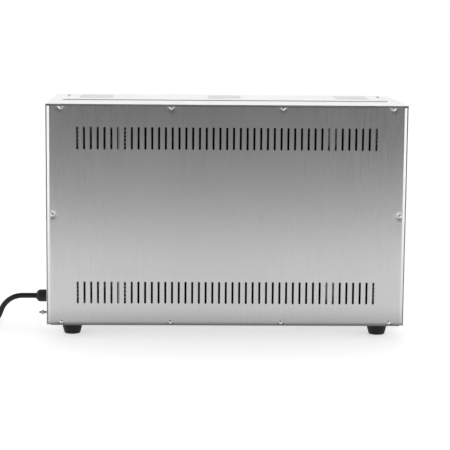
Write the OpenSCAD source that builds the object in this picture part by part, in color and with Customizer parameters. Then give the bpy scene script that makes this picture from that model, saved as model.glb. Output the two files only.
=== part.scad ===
/* [Casing] */
// Width of the casing over its side panels
body_w = 800; // [780:1:820]
// Depth of the casing from front frame to back panel
body_d = 360; // [356:1:370]
// Height of the casing without its feet
body_h = 495; // [492:1:500]
// Height of the rubber feet
foot_h = 25; // [20:1:30]
// Thickness of the stainless sheet
sheet = 1.2; // [0.8:0.1:1.5]
// Outside radius of the bend down each side of the back panel
side_bend_r = 8; // [3:0.5:8]
// Outside radius of the bend along its top and bottom
edge_bend_r = 3; // [2:0.5:3]

/* [Vents] */
// Number of slots in each row of the back panel
slot_count = 45; // [5:2:45]
// Distance from one slot to the next
slot_pitch = 15; // [12:0.5:16]
// Width of a slot
slot_w = 4.8; // [3:0.1:6]
// Length of a slot
slot_l = 50; // [30:1:55]

/* [Rotisserie drive] */
// Number of teeth on each big drive gear
gear_teeth = 64; // [48:4:64]
// Number of teeth on the motor pinion
pinion_teeth = 16; // [14:2:16]
// Gear module
gear_module = 2.5; // [2:0.1:2.5]
// Side of the square spit rod
spit_side = 10; // [8:0.5:11]
// Length of a meat fork's tines
tine_l = 95; // [60:1:100]

/* [Door] */
// Thickness of the door over its front and back sheets
door_t = 18; // [16:1:22]
// Thickness of the door glass
glass_t = 4; // [3:0.5:5]

/* [Mains cord] */
// Diameter of the mains cord
cord_d = 12; // [12:1:12]
// Radius of the coil at the middle of its turns
coil_r = 66; // [66:1:66]

/* [Hidden] */
$fn = 48;
eps = 0.01;
cut = 1; // how far a cutter runs past the face it cuts

// Casing
half_w = body_w / 2;
half_d = body_d / 2;
base_z = foot_h;
top_z = foot_h + body_h;
side_in = half_w - sheet;
front_in = -half_d + sheet;
back_in = half_d - sheet;
flange_w = 14;
side_setback = 5; // the side panels end this far before the back panel's face
tray_gap = 0.3; // between the back panel's flanges and the casing
tray_half_w = side_in - tray_gap;
tray_low = base_z + tray_gap;
tray_high = top_z - sheet - tray_gap;
tray_depth = 10;
tray_front = half_d - tray_depth;
pan_back = tray_front - tray_gap;
cover_half_w = body_w / 2 - 27;
cover_back = half_d - 142;
cover_front = -half_d + 8;
vent_xs = [-298, 0, 298];
vent_rows = 10;
vent_row_pitch = 12;
vent_slot_w = 3;
vent_slot_l = 78;
vent_mid_y = -72;
low_slot_z = base_z + 75;
high_slot_z = base_z + 420;
upright_xs = [-335, -235, 226, 332];

// Screws and feet
screw_r = 2;
screw_hole_r = 2.2;
head_r = 3.9;
head_h = 2.4;
back_screws = [for (x = [-367, -123.5, 123.5, 367]) for (z = [base_z + 8.5, top_z - 8]) [x, z],
    [-386, base_z + 249], [386, base_z + 249]];
cover_screws = [[-365, -100], [365, -100]];
foot_x = 345;
foot_y = half_d - 44;
foot_top_r = 23.4;
foot_low_r = 18;
foot_bolt_r = 3;

// Oven cavity
cavity_x0 = -373;
cavity_x1 = 228;
cavity_y1 = 120;
cavity_z0 = base_z + 3;
cavity_z1 = 500;
opening_x0 = -372;
opening_x1 = 227;
opening_z0 = base_z + 5;
wool_t = 18;
heater_r = 4;
rear_heater_y = 95;
rear_heater_zs = [190, 390];
rear_heater_half = 40;
top_heater_z = 486;
top_heater_y = -25;
top_heater_half = 85;
terminal_x = 262;
heater_ends = concat([for (z = rear_heater_zs) for (s = [-1, 1]) [rear_heater_y, z + s * rear_heater_half]],
    [for (s = [-1, 1]) [top_heater_y + s * top_heater_half, top_heater_z]]);
clip_xs = [-230, -50, 130];
lamp_y = 97;
lamp_z = 474;
lamp_r = 17;

// Drive and spits
spit_y = -30;
low_spit_z = 190;
high_spit_z = 390;
pinion_z = (low_spit_z + high_spit_z) / 2;
shaft_r = 7;
bush_clear = 0.05;
wall_hole_r = 10;
socket_x0 = 204;
socket_x1 = 226;
socket_r = 13;
socket_depth = 18;
socket_clear = 0.1;
plate_t = 2.5;
inner_plate_x = 250;
outer_plate_x = 276;
gear_x0 = 258;
gear_w = 10;
pinion_w = 12;
post_r = 6;
post_places = [[-76, pinion_z], [16, pinion_z], [spit_y, 482], [spit_y, 98]];
motor_shaft_r = 4;
backlash = 0.25;
pressure_angle = 20;
journal_r = 4.8;
journal_x0 = -350;
square_x0 = -318;
spit_end_x = socket_x0 + socket_depth - 0.5;
left_hub_x = -230;
right_hub_x = 130;
hub_l = 16;
hub_r = 13;
tine_r = 2.5;
tine_off = 32;

// Door
door_x0 = -388;
door_x1 = 236;
door_z0 = 86;
door_z1 = 504;
door_back = -half_d - 1;
door_front = door_back - door_t;
stile_w = 34;
pane_lap = 6;
hinge_x = -392.5;
hinge_y = -190;
knuckle_r = 6.5;
knuckle_l = 30;
pin_r = 3;
handle_x = 219;
handle_y = door_front - 34;
handle_r = 9;

// Drip tray
tray_x0 = -371;
tray_x1 = 226;
tray_y1 = 114;
tray_z0 = base_z + 8.7;
tray_z1 = tray_z0 + 38;
face_x0 = -384;
face_x1 = 234;
face_z0 = base_z + 4;
face_z1 = 79;
face_y0 = -half_d - 12;
face_y1 = -half_d - 0.4;

// Controls
panel_x0 = 242.5;
panel_x1 = half_w - 1.5;
panel_front = -half_d - sheet;
control_x = 321;
thermostat_z = 420;
timer_z = 325;
rocker_z = 230;
rocker_xs = [control_x - 24, control_x + 24];
rocker_y = -half_d - 0.5;
rocker_tilt = 8;
light_xs = [control_x - 24, control_x + 24];
light_z = 480;
knob_shaft_r = 3;

// Mains side
gland_y = half_d - 75;
gland_z = base_z + 54;
gland_l = 28.5;
stud_y = half_d - 95;
stud_z = base_z + 11.5;
stud_r = 3;
stud_end_x = half_w + 23.8;
coil_x = 612;
coil_y = gland_y - coil_r - cord_d / 2;
plug_x = coil_x + coil_r + cord_d / 2;
plug_y = coil_y - 25;
plug_z = 1.5 * cord_d;
cord_sides = 12;
// The cord's route: straight out of the gland, down in two equal bends and along the surface
cord_straight_x = 460;
cord_bend_r = 52;
cord_drop = gland_z - cord_d / 2;
cord_bend_a = acos(1 - cord_drop / (2 * cord_bend_r));
cord_down_x = cord_straight_x + 2 * cord_bend_r * sin(cord_bend_a);
bend_steps = 7;
cord_route = concat(
    [for (x = [half_w + gland_l, 442, cord_straight_x]) [x, gland_y, gland_z]],
    [for (i = [1 : bend_steps]) let (a = cord_bend_a * i / bend_steps)
        [cord_straight_x + cord_bend_r * sin(a), gland_y, gland_z - cord_bend_r * (1 - cos(a))]],
    [for (i = [bend_steps - 1 : -1 : 0]) let (a = cord_bend_a * i / bend_steps)
        [cord_down_x - cord_bend_r * sin(a), gland_y, cord_d / 2 + cord_bend_r * (1 - cos(a))]],
    [for (x = [578, 595, coil_x]) [x, gland_y, cord_d / 2]]);

// Boxes, rods and plates between two stated ends
module block(x0, x1, y0, y1, z0, z1) {
    translate([x0, y0, z0]) cube([x1 - x0, y1 - y0, z1 - z0]);
}

module rod_x(x0, x1, y, z, r) {
    translate([x0, y, z]) rotate([0, 90, 0]) cylinder(h = x1 - x0, r = r);
}

module rod_y(y0, y1, x, z, r) {
    translate([x, y0, z]) rotate([-90, 0, 0]) cylinder(h = y1 - y0, r = r);
}

module rod_z(z0, z1, x, y, r) {
    translate([x, y, z0]) cylinder(h = z1 - z0, r = r);
}

// An upright plate whose outline is given as x and z
module upright(y0, y1) {
    translate([0, y1, 0]) rotate([90, 0, 0]) linear_extrude(y1 - y0) children();
}

module rect(x0, x1, z0, z1) {
    translate([x0, z0]) square([x1 - x0, z1 - z0]);
}

// A rectangle with round corners, exact arcs
module round_rect(x0, x1, z0, z1, r) {
    rect(x0 + r, x1 - r, z0, z1);
    rect(x0, x1, z0 + r, z1 - r);
    for (x = [x0 + r, x1 - r]) for (z = [z0 + r, z1 - r]) translate([x, z]) circle(r);
}

// An upright slot with round ends, about its middle
module slot(w, l) {
    square([w, l - w], center = true);
    for (s = [-1, 1]) translate([0, s * (l - w) / 2]) circle(w / 2, $fn = 24);
}

module ring_plate(y0, y1, x0, x1, z0, z1, w) {
    upright(y0, y1) difference() {
        rect(x0, x1, z0, z1);
        rect(x0 + w, x1 - w, z0 + w, z1 - w);
    }
}

// Casing
module side_panel(side) {
    mirror([side < 0 ? 1 : 0, 0, 0]) {
        block(side_in, half_w, -half_d, half_d - side_setback, base_z, top_z - sheet);
        block(side_in - flange_w, side_in, front_in, pan_back, top_z - 2 * sheet, top_z - sheet);
        block(side_in - flange_w, side_in, front_in, pan_back, base_z + sheet, base_z + 2 * sheet);
    }
}

module left_side_panel() {
    color("silver") side_panel(-1);
}

module right_side_panel() {
    color("silver") difference() {
        side_panel(1);
        rod_x(side_in - cut, half_w + cut, gland_y, gland_z, 10.05);
        rod_x(side_in - cut, half_w + cut, stud_y, stud_z, stud_r + 0.05);
    }
}

module top_panel() {
    color("gainsboro") translate([0, 0, top_z - sheet]) linear_extrude(sheet) difference() {
        rect(-half_w, half_w, -half_d, half_d);
        for (x = vent_xs) rect(x - 42, x + 42, vent_mid_y - 60, vent_mid_y + 60);
        for (p = cover_screws) translate(p) circle(screw_hole_r);
    }
}

module top_cover() {
    color("gainsboro") translate([0, 0, top_z]) linear_extrude(sheet) difference() {
        round_rect(-cover_half_w, cover_half_w, cover_front, cover_back, 4);
        for (x = vent_xs) for (j = [0 : vent_rows - 1]) {
            translate([x, vent_mid_y + (j - (vent_rows - 1) / 2) * vent_row_pitch]) {
                rotate(90) slot(vent_slot_w, vent_slot_l);
            }
        }
        for (p = cover_screws) translate(p) circle(screw_hole_r);
    }
}

// A pan-head screw standing on z = 0 with its shank below
module pan_screw(shank) {
    translate([0, 0, -shank]) cylinder(h = shank + eps, r = screw_r);
    difference() {
        union() {
            cylinder(h = head_h - 1, r = head_r);
            translate([0, 0, head_h - 1]) cylinder(h = 1, r1 = head_r, r2 = head_r - 1.2);
        }
        for (a = [0, 90]) rotate(a) translate([-2.2, -0.45, head_h - 1.2]) cube([4.4, 0.9, 2]);
    }
}

module casing_screws() {
    color("silver") {
        for (p = back_screws) translate([p[0], half_d, p[1]]) rotate([-90, 0, 0]) pan_screw(9);
        for (p = cover_screws) translate([p[0], p[1], top_z + sheet]) pan_screw(5);
    }
}

// Quarter bend of radius r and the forward flange beyond it, with the panel's face towards +y
module bend_outline(r) {
    intersection() {
        difference() {
            circle(r);
            circle(r - sheet);
        }
        square(r);
    }
    translate([r - sheet, r - tray_depth]) square([sheet, tray_depth - r]);
}

module back_panel() {
    flat_w = tray_half_w - side_bend_r;
    flat_z0 = tray_low + edge_bend_r;
    flat_z1 = tray_high - edge_bend_r;
    color("lightgray") {
        upright(back_in, half_d) difference() {
            rect(-flat_w, flat_w, flat_z0, flat_z1);
            for (z = [low_slot_z, high_slot_z]) for (i = [0 : slot_count - 1]) {
                translate([(i - (slot_count - 1) / 2) * slot_pitch, z]) slot(slot_w, slot_l);
            }
            for (p = back_screws) translate(p) circle(screw_hole_r);
        }
        for (s = [0, 1]) mirror([s, 0, 0]) translate([flat_w, half_d - side_bend_r, flat_z0]) {
            linear_extrude(flat_z1 - flat_z0) bend_outline(side_bend_r);
        }
        translate([-flat_w, half_d - edge_bend_r, flat_z1]) {
            rotate([90, 0, 90]) linear_extrude(2 * flat_w) mirror([1, -1]) bend_outline(edge_bend_r);
        }
        translate([flat_w, half_d - edge_bend_r, flat_z0]) rotate([0, 180, 0]) {
            rotate([90, 0, 90]) linear_extrude(2 * flat_w) mirror([1, -1]) bend_outline(edge_bend_r);
        }
    }
}

// Frame behind the back panel: four rails that take the screws, and four perforated uprights
module rear_frame() {
    rail_w = 16;
    rail_gap = 0.5;
    rail_y = back_in - sheet;
    rail_x = tray_half_w - side_bend_r - 0.1;
    rail_z0 = tray_low + edge_bend_r + 0.1;
    rail_z1 = tray_high - edge_bend_r - 0.1;
    post_z0 = rail_z0 + rail_w + rail_gap;
    post_z1 = rail_z1 - rail_w - rail_gap;
    web_y = 158;
    web_half = 14;
    web_hole_r = 2.6;
    web_hole_pitch = 8.5;
    color("gray") difference() {
        union() {
            for (z = [rail_z0, rail_z1 - rail_w]) block(-rail_x, rail_x, rail_y, back_in, z, z + rail_w);
            for (x = [-rail_x, rail_x - rail_w]) {
                block(x, x + rail_w, rail_y, back_in, post_z0, post_z1);
            }
            for (x = upright_xs) {
                block(x - web_half, x + web_half, web_y, web_y + sheet, base_z + sheet, top_z - sheet);
                for (s = [-1, 1]) translate([x + s * (web_half - sheet / 2), 0, 0]) {
                    block(-sheet / 2, sheet / 2, web_y, rail_y - rail_gap, rail_z0, rail_z1);
                }
            }
        }
        for (x = upright_xs) for (z = [base_z + 40 : web_hole_pitch : top_z - 40]) {
            rod_y(web_y - cut, web_y + sheet + cut, x, z, web_hole_r);
        }
        for (p = back_screws) rod_y(rail_y - cut, back_in + cut, p[0], p[1], screw_r + 0.05);
    }
}

module bottom_pan() {
    color("silver") translate([0, 0, base_z]) linear_extrude(sheet) difference() {
        rect(-side_in, side_in, front_in, pan_back);
        for (x = [-foot_x, foot_x]) for (y = [-foot_y, foot_y]) translate([x, y]) circle(foot_bolt_r + 0.3);
        for (x = [-180, 0, 270, 300, 330]) for (y = [-60, 0, 60]) translate([x, y]) slot(slot_w, slot_l);
    }
}

module front_frame() {
    color("silver") upright(-half_d, front_in) difference() {
        rect(-side_in, side_in, base_z, top_z - sheet);
        rect(opening_x0, opening_x1, opening_z0, cavity_z1);
        rect(256, 388, 60, cavity_z1);
    }
}

module control_panel() {
    color("lightgray") upright(panel_front, -half_d) difference() {
        round_rect(panel_x0, panel_x1, base_z + 2, top_z - 3, 3);
        for (z = [thermostat_z, timer_z]) translate([control_x, z]) circle(5.05);
        for (x = rocker_xs) rect(x - 10.2, x + 10.2, rocker_z - 14.2, rocker_z + 14.2);
        for (x = light_xs) translate([x, light_z]) circle(6);
        for (z = [75 : 15 : 135]) translate([control_x, z]) rotate(90) slot(slot_w, 90);
    }
}

module rubber_feet() {
    color("black") for (x = [-foot_x, foot_x]) for (y = [-foot_y, foot_y]) translate([x, y, 0]) {
        rotate_extrude() polygon([[8.5, 0], [foot_low_r - 1.5, 0], [foot_low_r, 1.5],
            [foot_top_r, foot_h - 3], [foot_top_r, foot_h], [foot_bolt_r + 0.05, foot_h],
            [foot_bolt_r + 0.05, 12], [8.5, 12]]);
    }
}

module foot_bolts() {
    color("silver") for (x = [-foot_x, foot_x]) for (y = [-foot_y, foot_y]) translate([x, y, 0]) {
        translate([0, 0, 12 - 4]) cylinder(h = 4, r = 5.5, $fn = 6);
        translate([0, 0, 12 - eps]) cylinder(h = base_z + sheet + 6 - 12, r = foot_bolt_r);
        translate([0, 0, base_z + sheet]) cylinder(h = 5, r = 5.7, $fn = 6);
    }
}

// Oven cavity
module cavity_back() {
    color("silver") {
        upright(cavity_y1, cavity_y1 + sheet) rect(cavity_x0, cavity_x1, cavity_z0, cavity_z1);
        for (z = [110, 290, 470]) intersection() {
            rod_x(cavity_x0 + 20, cavity_x1 - 20, cavity_y1 + 2, z, 5);
            block(cavity_x0, cavity_x1, cavity_y1 - 9, cavity_y1 + eps, z - 9, z + 9);
        }
    }
}

module cavity_top() {
    color("silver") block(cavity_x0, cavity_x1, front_in, cavity_y1 + sheet, cavity_z1, cavity_z1 + sheet);
}

module cavity_left_wall() {
    color("silver") block(cavity_x0 - sheet, cavity_x0, front_in, cavity_y1 + sheet,
        cavity_z0, cavity_z1 + sheet);
}

module cavity_right_wall() {
    color("silver") difference() {
        block(cavity_x1, cavity_x1 + sheet, front_in, cavity_y1 + sheet, cavity_z0, cavity_z1 + sheet);
        for (z = [low_spit_z, high_spit_z]) {
            rod_x(cavity_x1 - cut, cavity_x1 + sheet + cut, spit_y, z, wall_hole_r);
        }
        for (e = heater_ends) rod_x(cavity_x1 - cut, cavity_x1 + sheet + cut, e[0], e[1], heater_r + 0.1);
        rod_x(cavity_x1 - cut, cavity_x1 + sheet + cut, lamp_y, lamp_z, lamp_r);
    }
}

module insulation() {
    wool_x = cavity_x1 + sheet;
    color("lightyellow") {
        block(cavity_x0 - sheet - wool_t, cavity_x0 - sheet, front_in, cavity_y1, base_z + 4, cavity_z1);
        block(cavity_x0, cavity_x1, front_in, cavity_y1, cavity_z1 + sheet, cavity_z1 + 15);
        block(cavity_x0, cavity_x1, cavity_y1 + sheet, cavity_y1 + sheet + wool_t, base_z + 35, cavity_z1);
        difference() {
            block(wool_x, wool_x + wool_t, front_in, cavity_y1, base_z + 4, cavity_z1);
            for (z = [low_spit_z, high_spit_z]) rod_x(wool_x - cut, wool_x + wool_t + cut, spit_y, z, 12);
            for (p = post_places) rod_x(wool_x - cut, wool_x + wool_t + cut, p[0], p[1], post_r + 1);
            for (e = heater_ends) rod_x(wool_x - cut, wool_x + wool_t + cut, e[0], e[1], 10);
            rod_x(wool_x - cut, wool_x + wool_t + cut, lamp_y, lamp_z, lamp_r + 2);
        }
    }
}

// A hairpin heater in its own plane: two legs along x joined by a half ring at the left
module hairpin(half, left) {
    for (s = [-1, 1]) rod_x(left, terminal_x - 12, s * half, 0, heater_r);
    translate([left, 0, 0]) rotate([0, 0, 90]) {
        rotate_extrude(angle = 180) translate([half, 0]) circle(heater_r);
    }
}

module rear_heaters() {
    color("dimgray") for (z = rear_heater_zs) {
        translate([0, rear_heater_y, z]) rotate([90, 0, 0]) hairpin(rear_heater_half, -300);
    }
}

module top_heater() {
    color("dimgray") translate([0, top_heater_y, top_heater_z]) hairpin(top_heater_half, -255);
}

// A clip around a heater tube along x, with its tab standing up to the wall that carries it
module heater_clip(reach) {
    difference() {
        union() {
            rod_x(-4, 4, 0, 0, heater_r + 1.5);
            block(-4, 4, -1, 1, 0, reach);
        }
        rod_x(-4 - cut, 4 + cut, 0, 0, heater_r);
    }
}

// The clips of the heater tubes, and the flanges and terminals at their ends
module heater_fittings() {
    color("lightgray") {
        for (x = clip_xs) {
            for (z = rear_heater_zs) for (s = [-1, 1]) {
                translate([x, rear_heater_y, z + s * rear_heater_half]) rotate([-90, 0, 0]) {
                    heater_clip(cavity_y1 - rear_heater_y);
                }
            }
            for (s = [-1, 1]) translate([x, top_heater_y + s * top_heater_half, top_heater_z]) {
                heater_clip(cavity_z1 - top_heater_z);
            }
        }
        for (e = heater_ends) {
            difference() {
                rod_x(cavity_x1 + sheet, cavity_x1 + sheet + 5, e[0], e[1], 9);
                rod_x(cavity_x1, cavity_x1 + sheet + 5 + cut, e[0], e[1], heater_r);
            }
            rod_x(terminal_x - 12, terminal_x - 5, e[0], e[1], 3.2);
            rod_x(terminal_x - 5 - eps, terminal_x, e[0], e[1], 1.5);
        }
    }
}

module lamp_holder() {
    color("white") {
        difference() {
            rod_x(cavity_x1 - 1, cavity_x1, lamp_y, lamp_z, lamp_r + 4);
            rod_x(cavity_x1 - 1 - cut, cavity_x1 + cut, lamp_y, lamp_z, lamp_r - 1);
        }
        difference() {
            rod_x(cavity_x1 - eps, cavity_x1 + 34, lamp_y, lamp_z, lamp_r - 0.1);
            rod_x(cavity_x1 - cut, cavity_x1 + 24, lamp_y, lamp_z, lamp_r - 2);
        }
        rod_x(cavity_x1 + 24 - eps, cavity_x1 + 28, lamp_y, lamp_z, 8);
        rod_x(cavity_x1 + 6, cavity_x1 + 24, lamp_y, lamp_z, 7);
        translate([cavity_x1 + 6, lamp_y, lamp_z]) sphere(8);
    }
}

// The lamp's glass cover: a thin dome standing into the cavity
module lamp_glass() {
    color("lightcyan") translate([cavity_x1 - 1, lamp_y, lamp_z]) rotate([0, -90, 0]) difference() {
        union() {
            cylinder(h = 4, r = lamp_r);
            intersection() {
                translate([0, 0, 2]) sphere(lamp_r);
                cylinder(h = 30, r = lamp_r + 1);
            }
        }
        translate([0, 0, 2]) sphere(lamp_r - 2);
        translate([0, 0, -cut]) cylinder(h = 2 + cut + 1, r = lamp_r - 2);
    }
}

module tray_runners() {
    ledge_z = tray_z0 - 0.3;
    color("silver") for (x = [[cavity_x0, 1], [cavity_x1, -1]]) translate([x[0], 0, 0]) {
        mirror([x[1] < 0 ? 1 : 0, 0, 0]) {
            block(0, 16, front_in + 2, tray_y1, ledge_z - sheet, ledge_z);
            block(0, sheet, front_in + 2, tray_y1, base_z + sheet + 0.5, ledge_z - sheet);
        }
    }
}

// Spit rests on the left wall: an open notch for the journal of each spit
module spit_rests() {
    notch_r = journal_r + 0.08;
    color("silver") for (z = [low_spit_z, high_spit_z]) {
        difference() {
            union() {
                block(cavity_x0, cavity_x0 + 2, spit_y - 26, spit_y + 26, z - 46, z - 12);
                block(cavity_x0, -340, spit_y - 16, spit_y + 16, z - 34, z - 32);
                block(-344, -340, spit_y - 16, spit_y + 16, z - 34, z + 9);
            }
            rod_x(-345, -339, spit_y, z, notch_r);
            block(-345, -339, spit_y - notch_r, spit_y + notch_r, z, z + 10);
        }
    }
}

// Drive
module drive_plate(x) {
    translate([x, 0, 0]) rotate([90, 0, 90]) linear_extrude(plate_t) difference() {
        union() {
            round_rect(spit_y - 26, spit_y + 26, 88, 492, 8);
            round_rect(-86, 26, pinion_z - 22, pinion_z + 22, 8);
        }
        for (z = [low_spit_z, high_spit_z]) translate([spit_y, z]) circle(10);
        translate([spit_y, pinion_z]) circle(12);
    }
}

module drive_frame() {
    color("silver") {
        drive_plate(inner_plate_x);
        drive_plate(outer_plate_x);
        for (p = post_places) {
            rod_x(cavity_x1 + sheet, inner_plate_x + eps, p[0], p[1], post_r);
            rod_x(inner_plate_x + plate_t - eps, outer_plate_x + eps, p[0], p[1], post_r);
        }
    }
}

// A flanged bush with its flange on the gear's side
module bush(x_plate, flange_side) {
    flange_x = flange_side > 0 ? x_plate + plate_t : x_plate - 2;
    difference() {
        union() {
            rod_x(x_plate - 2, x_plate + plate_t + 2, 0, 0, 9.98);
            rod_x(flange_x, flange_x + 2, 0, 0, 13);
        }
        rod_x(x_plate - 5, x_plate + plate_t + 5, 0, 0, shaft_r + bush_clear);
    }
}

module shaft_bushes() {
    color("darkgoldenrod") for (z = [low_spit_z, high_spit_z]) translate([0, spit_y, z]) {
        bush(inner_plate_x, 1);
        bush(outer_plate_x, -1);
    }
}

module gear_motor() {
    face_x = outer_plate_x + plate_t;
    color("dimgray") difference() {
        union() {
            translate([face_x, spit_y, pinion_z]) rotate([90, 0, 90]) linear_extrude(3) {
                round_rect(-38, 38, -20, 20, 5);
            }
            rod_x(face_x + 3 - eps, face_x + 28, spit_y, pinion_z, 30);
            rod_x(face_x + 28 - eps, face_x + 56, spit_y, pinion_z, 28);
            rod_x(face_x + 56 - eps, face_x + 60, spit_y, pinion_z, 12);
            block(face_x + 34, face_x + 50, spit_y - 8, spit_y + 8, pinion_z + 20, pinion_z + 36);
        }
        rod_x(face_x - cut, face_x + 14, spit_y, pinion_z, motor_shaft_r + bush_clear);
    }
}

// Involute gear outline
function involute(a) = tan(a) * 180 / PI - a;
function flank_angle(teeth, rad) = 90 / teeth * (1 - backlash / (PI * gear_module)) + involute(pressure_angle)
    - involute(acos(min(1, teeth * gear_module / 2 * cos(pressure_angle) / rad)));
function polar(rad, a) = [rad * cos(a), rad * sin(a)];
function tooth(teeth, at, steps = 4) =
    let (pitch_r = teeth * gear_module / 2, root_r = pitch_r - 1.25 * gear_module,
        tip_r = pitch_r + 0.9 * gear_module, base_r = pitch_r * cos(pressure_angle),
        start_r = max(root_r, base_r))
    concat(
        [polar(root_r, at - flank_angle(teeth, start_r) - 0.2)],
        [for (i = [0 : steps]) let (r = start_r + (tip_r - start_r) * i / steps)
            polar(r, at - flank_angle(teeth, r))],
        [for (i = [steps : -1 : 0]) let (r = start_r + (tip_r - start_r) * i / steps)
            polar(r, at + flank_angle(teeth, r))],
        [polar(root_r, at + flank_angle(teeth, start_r) + 0.2)]);

module gear_outline(teeth, turn) {
    polygon([for (i = [0 : teeth - 1]) each tooth(teeth, turn + i * 360 / teeth)]);
}

module drive_gear(z) {
    color("gray") translate([gear_x0, spit_y, z]) rotate([0, 90, 0]) {
        difference() {
            union() {
                linear_extrude(gear_w) gear_outline(gear_teeth, 180 / gear_teeth);
                translate([0, 0, -1]) cylinder(h = gear_w + 2, r = 16);
            }
            translate([0, 0, -2]) cylinder(h = gear_w + 4, r = shaft_r + 0.02);
            for (a = [0 : 60 : 300]) rotate(a + 30) translate([45, 0, -cut]) {
                cylinder(h = gear_w + 2 * cut, r = 16);
            }
        }
    }
}

// A drive shaft with the square socket that turns the spit
module drive_shaft(z) {
    half = spit_side / 2 + socket_clear;
    color("lightgray") difference() {
        union() {
            rod_x(socket_x0, socket_x1, spit_y, z, socket_r);
            rod_x(socket_x1 - eps, 288, spit_y, z, shaft_r);
            rod_x(281.2, 286, spit_y, z, 11);
        }
        block(socket_x0 - cut, socket_x0 + socket_depth, spit_y - half, spit_y + half, z - half, z + half);
    }
}

module upper_drive_shaft() {
    drive_shaft(high_spit_z);
}

module lower_drive_shaft() {
    drive_shaft(low_spit_z);
}

module upper_drive_gear() {
    drive_gear(high_spit_z);
}

module lower_drive_gear() {
    drive_gear(low_spit_z);
}

module motor_pinion() {
    color("goldenrod") {
        translate([gear_x0 - 1, spit_y, pinion_z]) rotate([0, 90, 0]) linear_extrude(pinion_w) {
            gear_outline(pinion_teeth, 0);
        }
        rod_x(gear_x0 - 3, outer_plate_x + plate_t + 13, spit_y, pinion_z, motor_shaft_r);
    }
}

// Spits and forks
module spit(z) {
    half = spit_side / 2;
    color("silver") {
        block(square_x0, spit_end_x, spit_y - half, spit_y + half, z - half, z + half);
        rod_x(journal_x0, square_x0 + eps, spit_y, z, journal_r);
    }
}

module upper_spit() {
    spit(high_spit_z);
}

module lower_spit() {
    spit(low_spit_z);
}

// A fork with its tines towards +x, sliding on the spit and clamped by a thumbscrew
module fork() {
    half = spit_side / 2 + socket_clear;
    color("gainsboro") {
        difference() {
            union() {
                rod_x(-hub_l / 2, hub_l / 2, 0, 0, hub_r);
                block(-4, 1, -5, 5, -tine_off - 5, tine_off + 5);
            }
            block(-hub_l / 2 - cut, hub_l / 2 + cut, -half, half, -half, half);
        }
        for (s = [-1, 1]) {
            rod_x(-eps, tine_l - 20, 0, s * tine_off, tine_r);
            translate([tine_l - 20, 0, s * tine_off]) rotate([0, 90, 0]) {
                cylinder(h = 20, r1 = tine_r, r2 = 0.4);
            }
        }
        rod_y(hub_r - 1, hub_r + 6, 0, 0, 3);
        rod_y(hub_r + 6 - eps, hub_r + 12, 0, 0, 8);
    }
}

module upper_left_fork() {
    translate([left_hub_x, spit_y, high_spit_z]) fork();
}

module upper_right_fork() {
    translate([right_hub_x, spit_y, high_spit_z]) rotate([0, 0, 180]) fork();
}

module lower_left_fork() {
    translate([left_hub_x, spit_y, low_spit_z]) fork();
}

module lower_right_fork() {
    translate([right_hub_x, spit_y, low_spit_z]) rotate([0, 0, 180]) fork();
}

// Door, hung at its left edge
module door_frame() {
    opening = [door_x0 + stile_w, door_x1 - stile_w, door_z0 + stile_w, door_z1 - stile_w];
    color("silver") difference() {
        union() {
            difference() {
                block(door_x0, door_x1, door_front, door_back, door_z0, door_z1);
                block(door_x0 + sheet, door_x1 - sheet, door_front + sheet, door_back + cut,
                    door_z0 + sheet, door_z1 - sheet);
            }
            ring_plate(door_front + sheet - eps, door_front + 5, opening[0] - sheet, opening[1] + sheet,
                opening[2] - sheet, opening[3] + sheet, sheet);
            for (z = [door_z0, door_z1 - knuckle_l]) rod_z(z, z + knuckle_l, hinge_x, hinge_y, knuckle_r);
        }
        block(opening[0], opening[1], door_front - cut, door_front + sheet + cut, opening[2], opening[3]);
        for (z = [door_z0, door_z1 - knuckle_l]) {
            rod_z(z - cut, z + knuckle_l + cut, hinge_x, hinge_y, pin_r + bush_clear);
        }
    }
}

module door_glass() {
    color("lightblue", 0.4) upright(door_front + 5, door_front + 5 + glass_t) {
        round_rect(door_x0 + stile_w - pane_lap, door_x1 - stile_w + pane_lap,
            door_z0 + stile_w - pane_lap, door_z1 - stile_w + pane_lap, 4);
    }
}

module door_retainer() {
    inset = sheet + 0.2;
    face_y = door_back - 3.2;
    color("silver") difference() {
        union() {
            ring_plate(face_y, face_y + sheet, door_x0 + inset, door_x1 - inset,
                door_z0 + inset, door_z1 - inset, stile_w - inset);
            ring_plate(door_front + 5 + glass_t, face_y + eps, door_x0 + stile_w - sheet,
                door_x1 - stile_w + sheet, door_z0 + stile_w - sheet, door_z1 - stile_w + sheet, sheet);
        }
        for (z = [door_z0, door_z1 - knuckle_l]) {
            rod_z(z - 1, z + knuckle_l + 1, hinge_x, hinge_y, knuckle_r + 0.3);
        }
    }
}

module door_gasket() {
    color("dimgray") upright(door_back - 2, door_back + 0.5) difference() {
        round_rect(door_x0 + 20, door_x1 - 20, door_z0 + 20, door_z1 - 20, 10);
        round_rect(door_x0 + 29, door_x1 - 29, door_z0 + 29, door_z1 - 29, 6);
    }
}

module door_handle() {
    color("dimgray") {
        rod_z(170, 420, handle_x, handle_y, handle_r);
        for (z = [195, 395]) rod_y(handle_y, door_front, handle_x, z, 6);
    }
}

// The brackets that carry the door, with their pins
module hinge_brackets() {
    color("silver") {
        block(hinge_x - 6.5, hinge_x + 6.5, hinge_y - 7, -half_d, door_z1 + 1, door_z1 + 4);
        block(hinge_x - 6.5, hinge_x + 6.5, -half_d - 3, -half_d, door_z1 + 4 - eps, top_z - 2);
        rod_z(door_z1 - 12, door_z1 + 1 + eps, hinge_x, hinge_y, pin_r);
        block(hinge_x - 6.5, hinge_x + 6.5, hinge_y - 7, -half_d, door_z0 - 4, door_z0 - 1);
        block(hinge_x - 6.5, hinge_x + 6.5, -half_d - 3, -half_d, door_z0 - 24, door_z0 - 4 + eps);
        rod_z(door_z0 - 1 - eps, door_z0 + 12, hinge_x, hinge_y, pin_r);
    }
}

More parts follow.
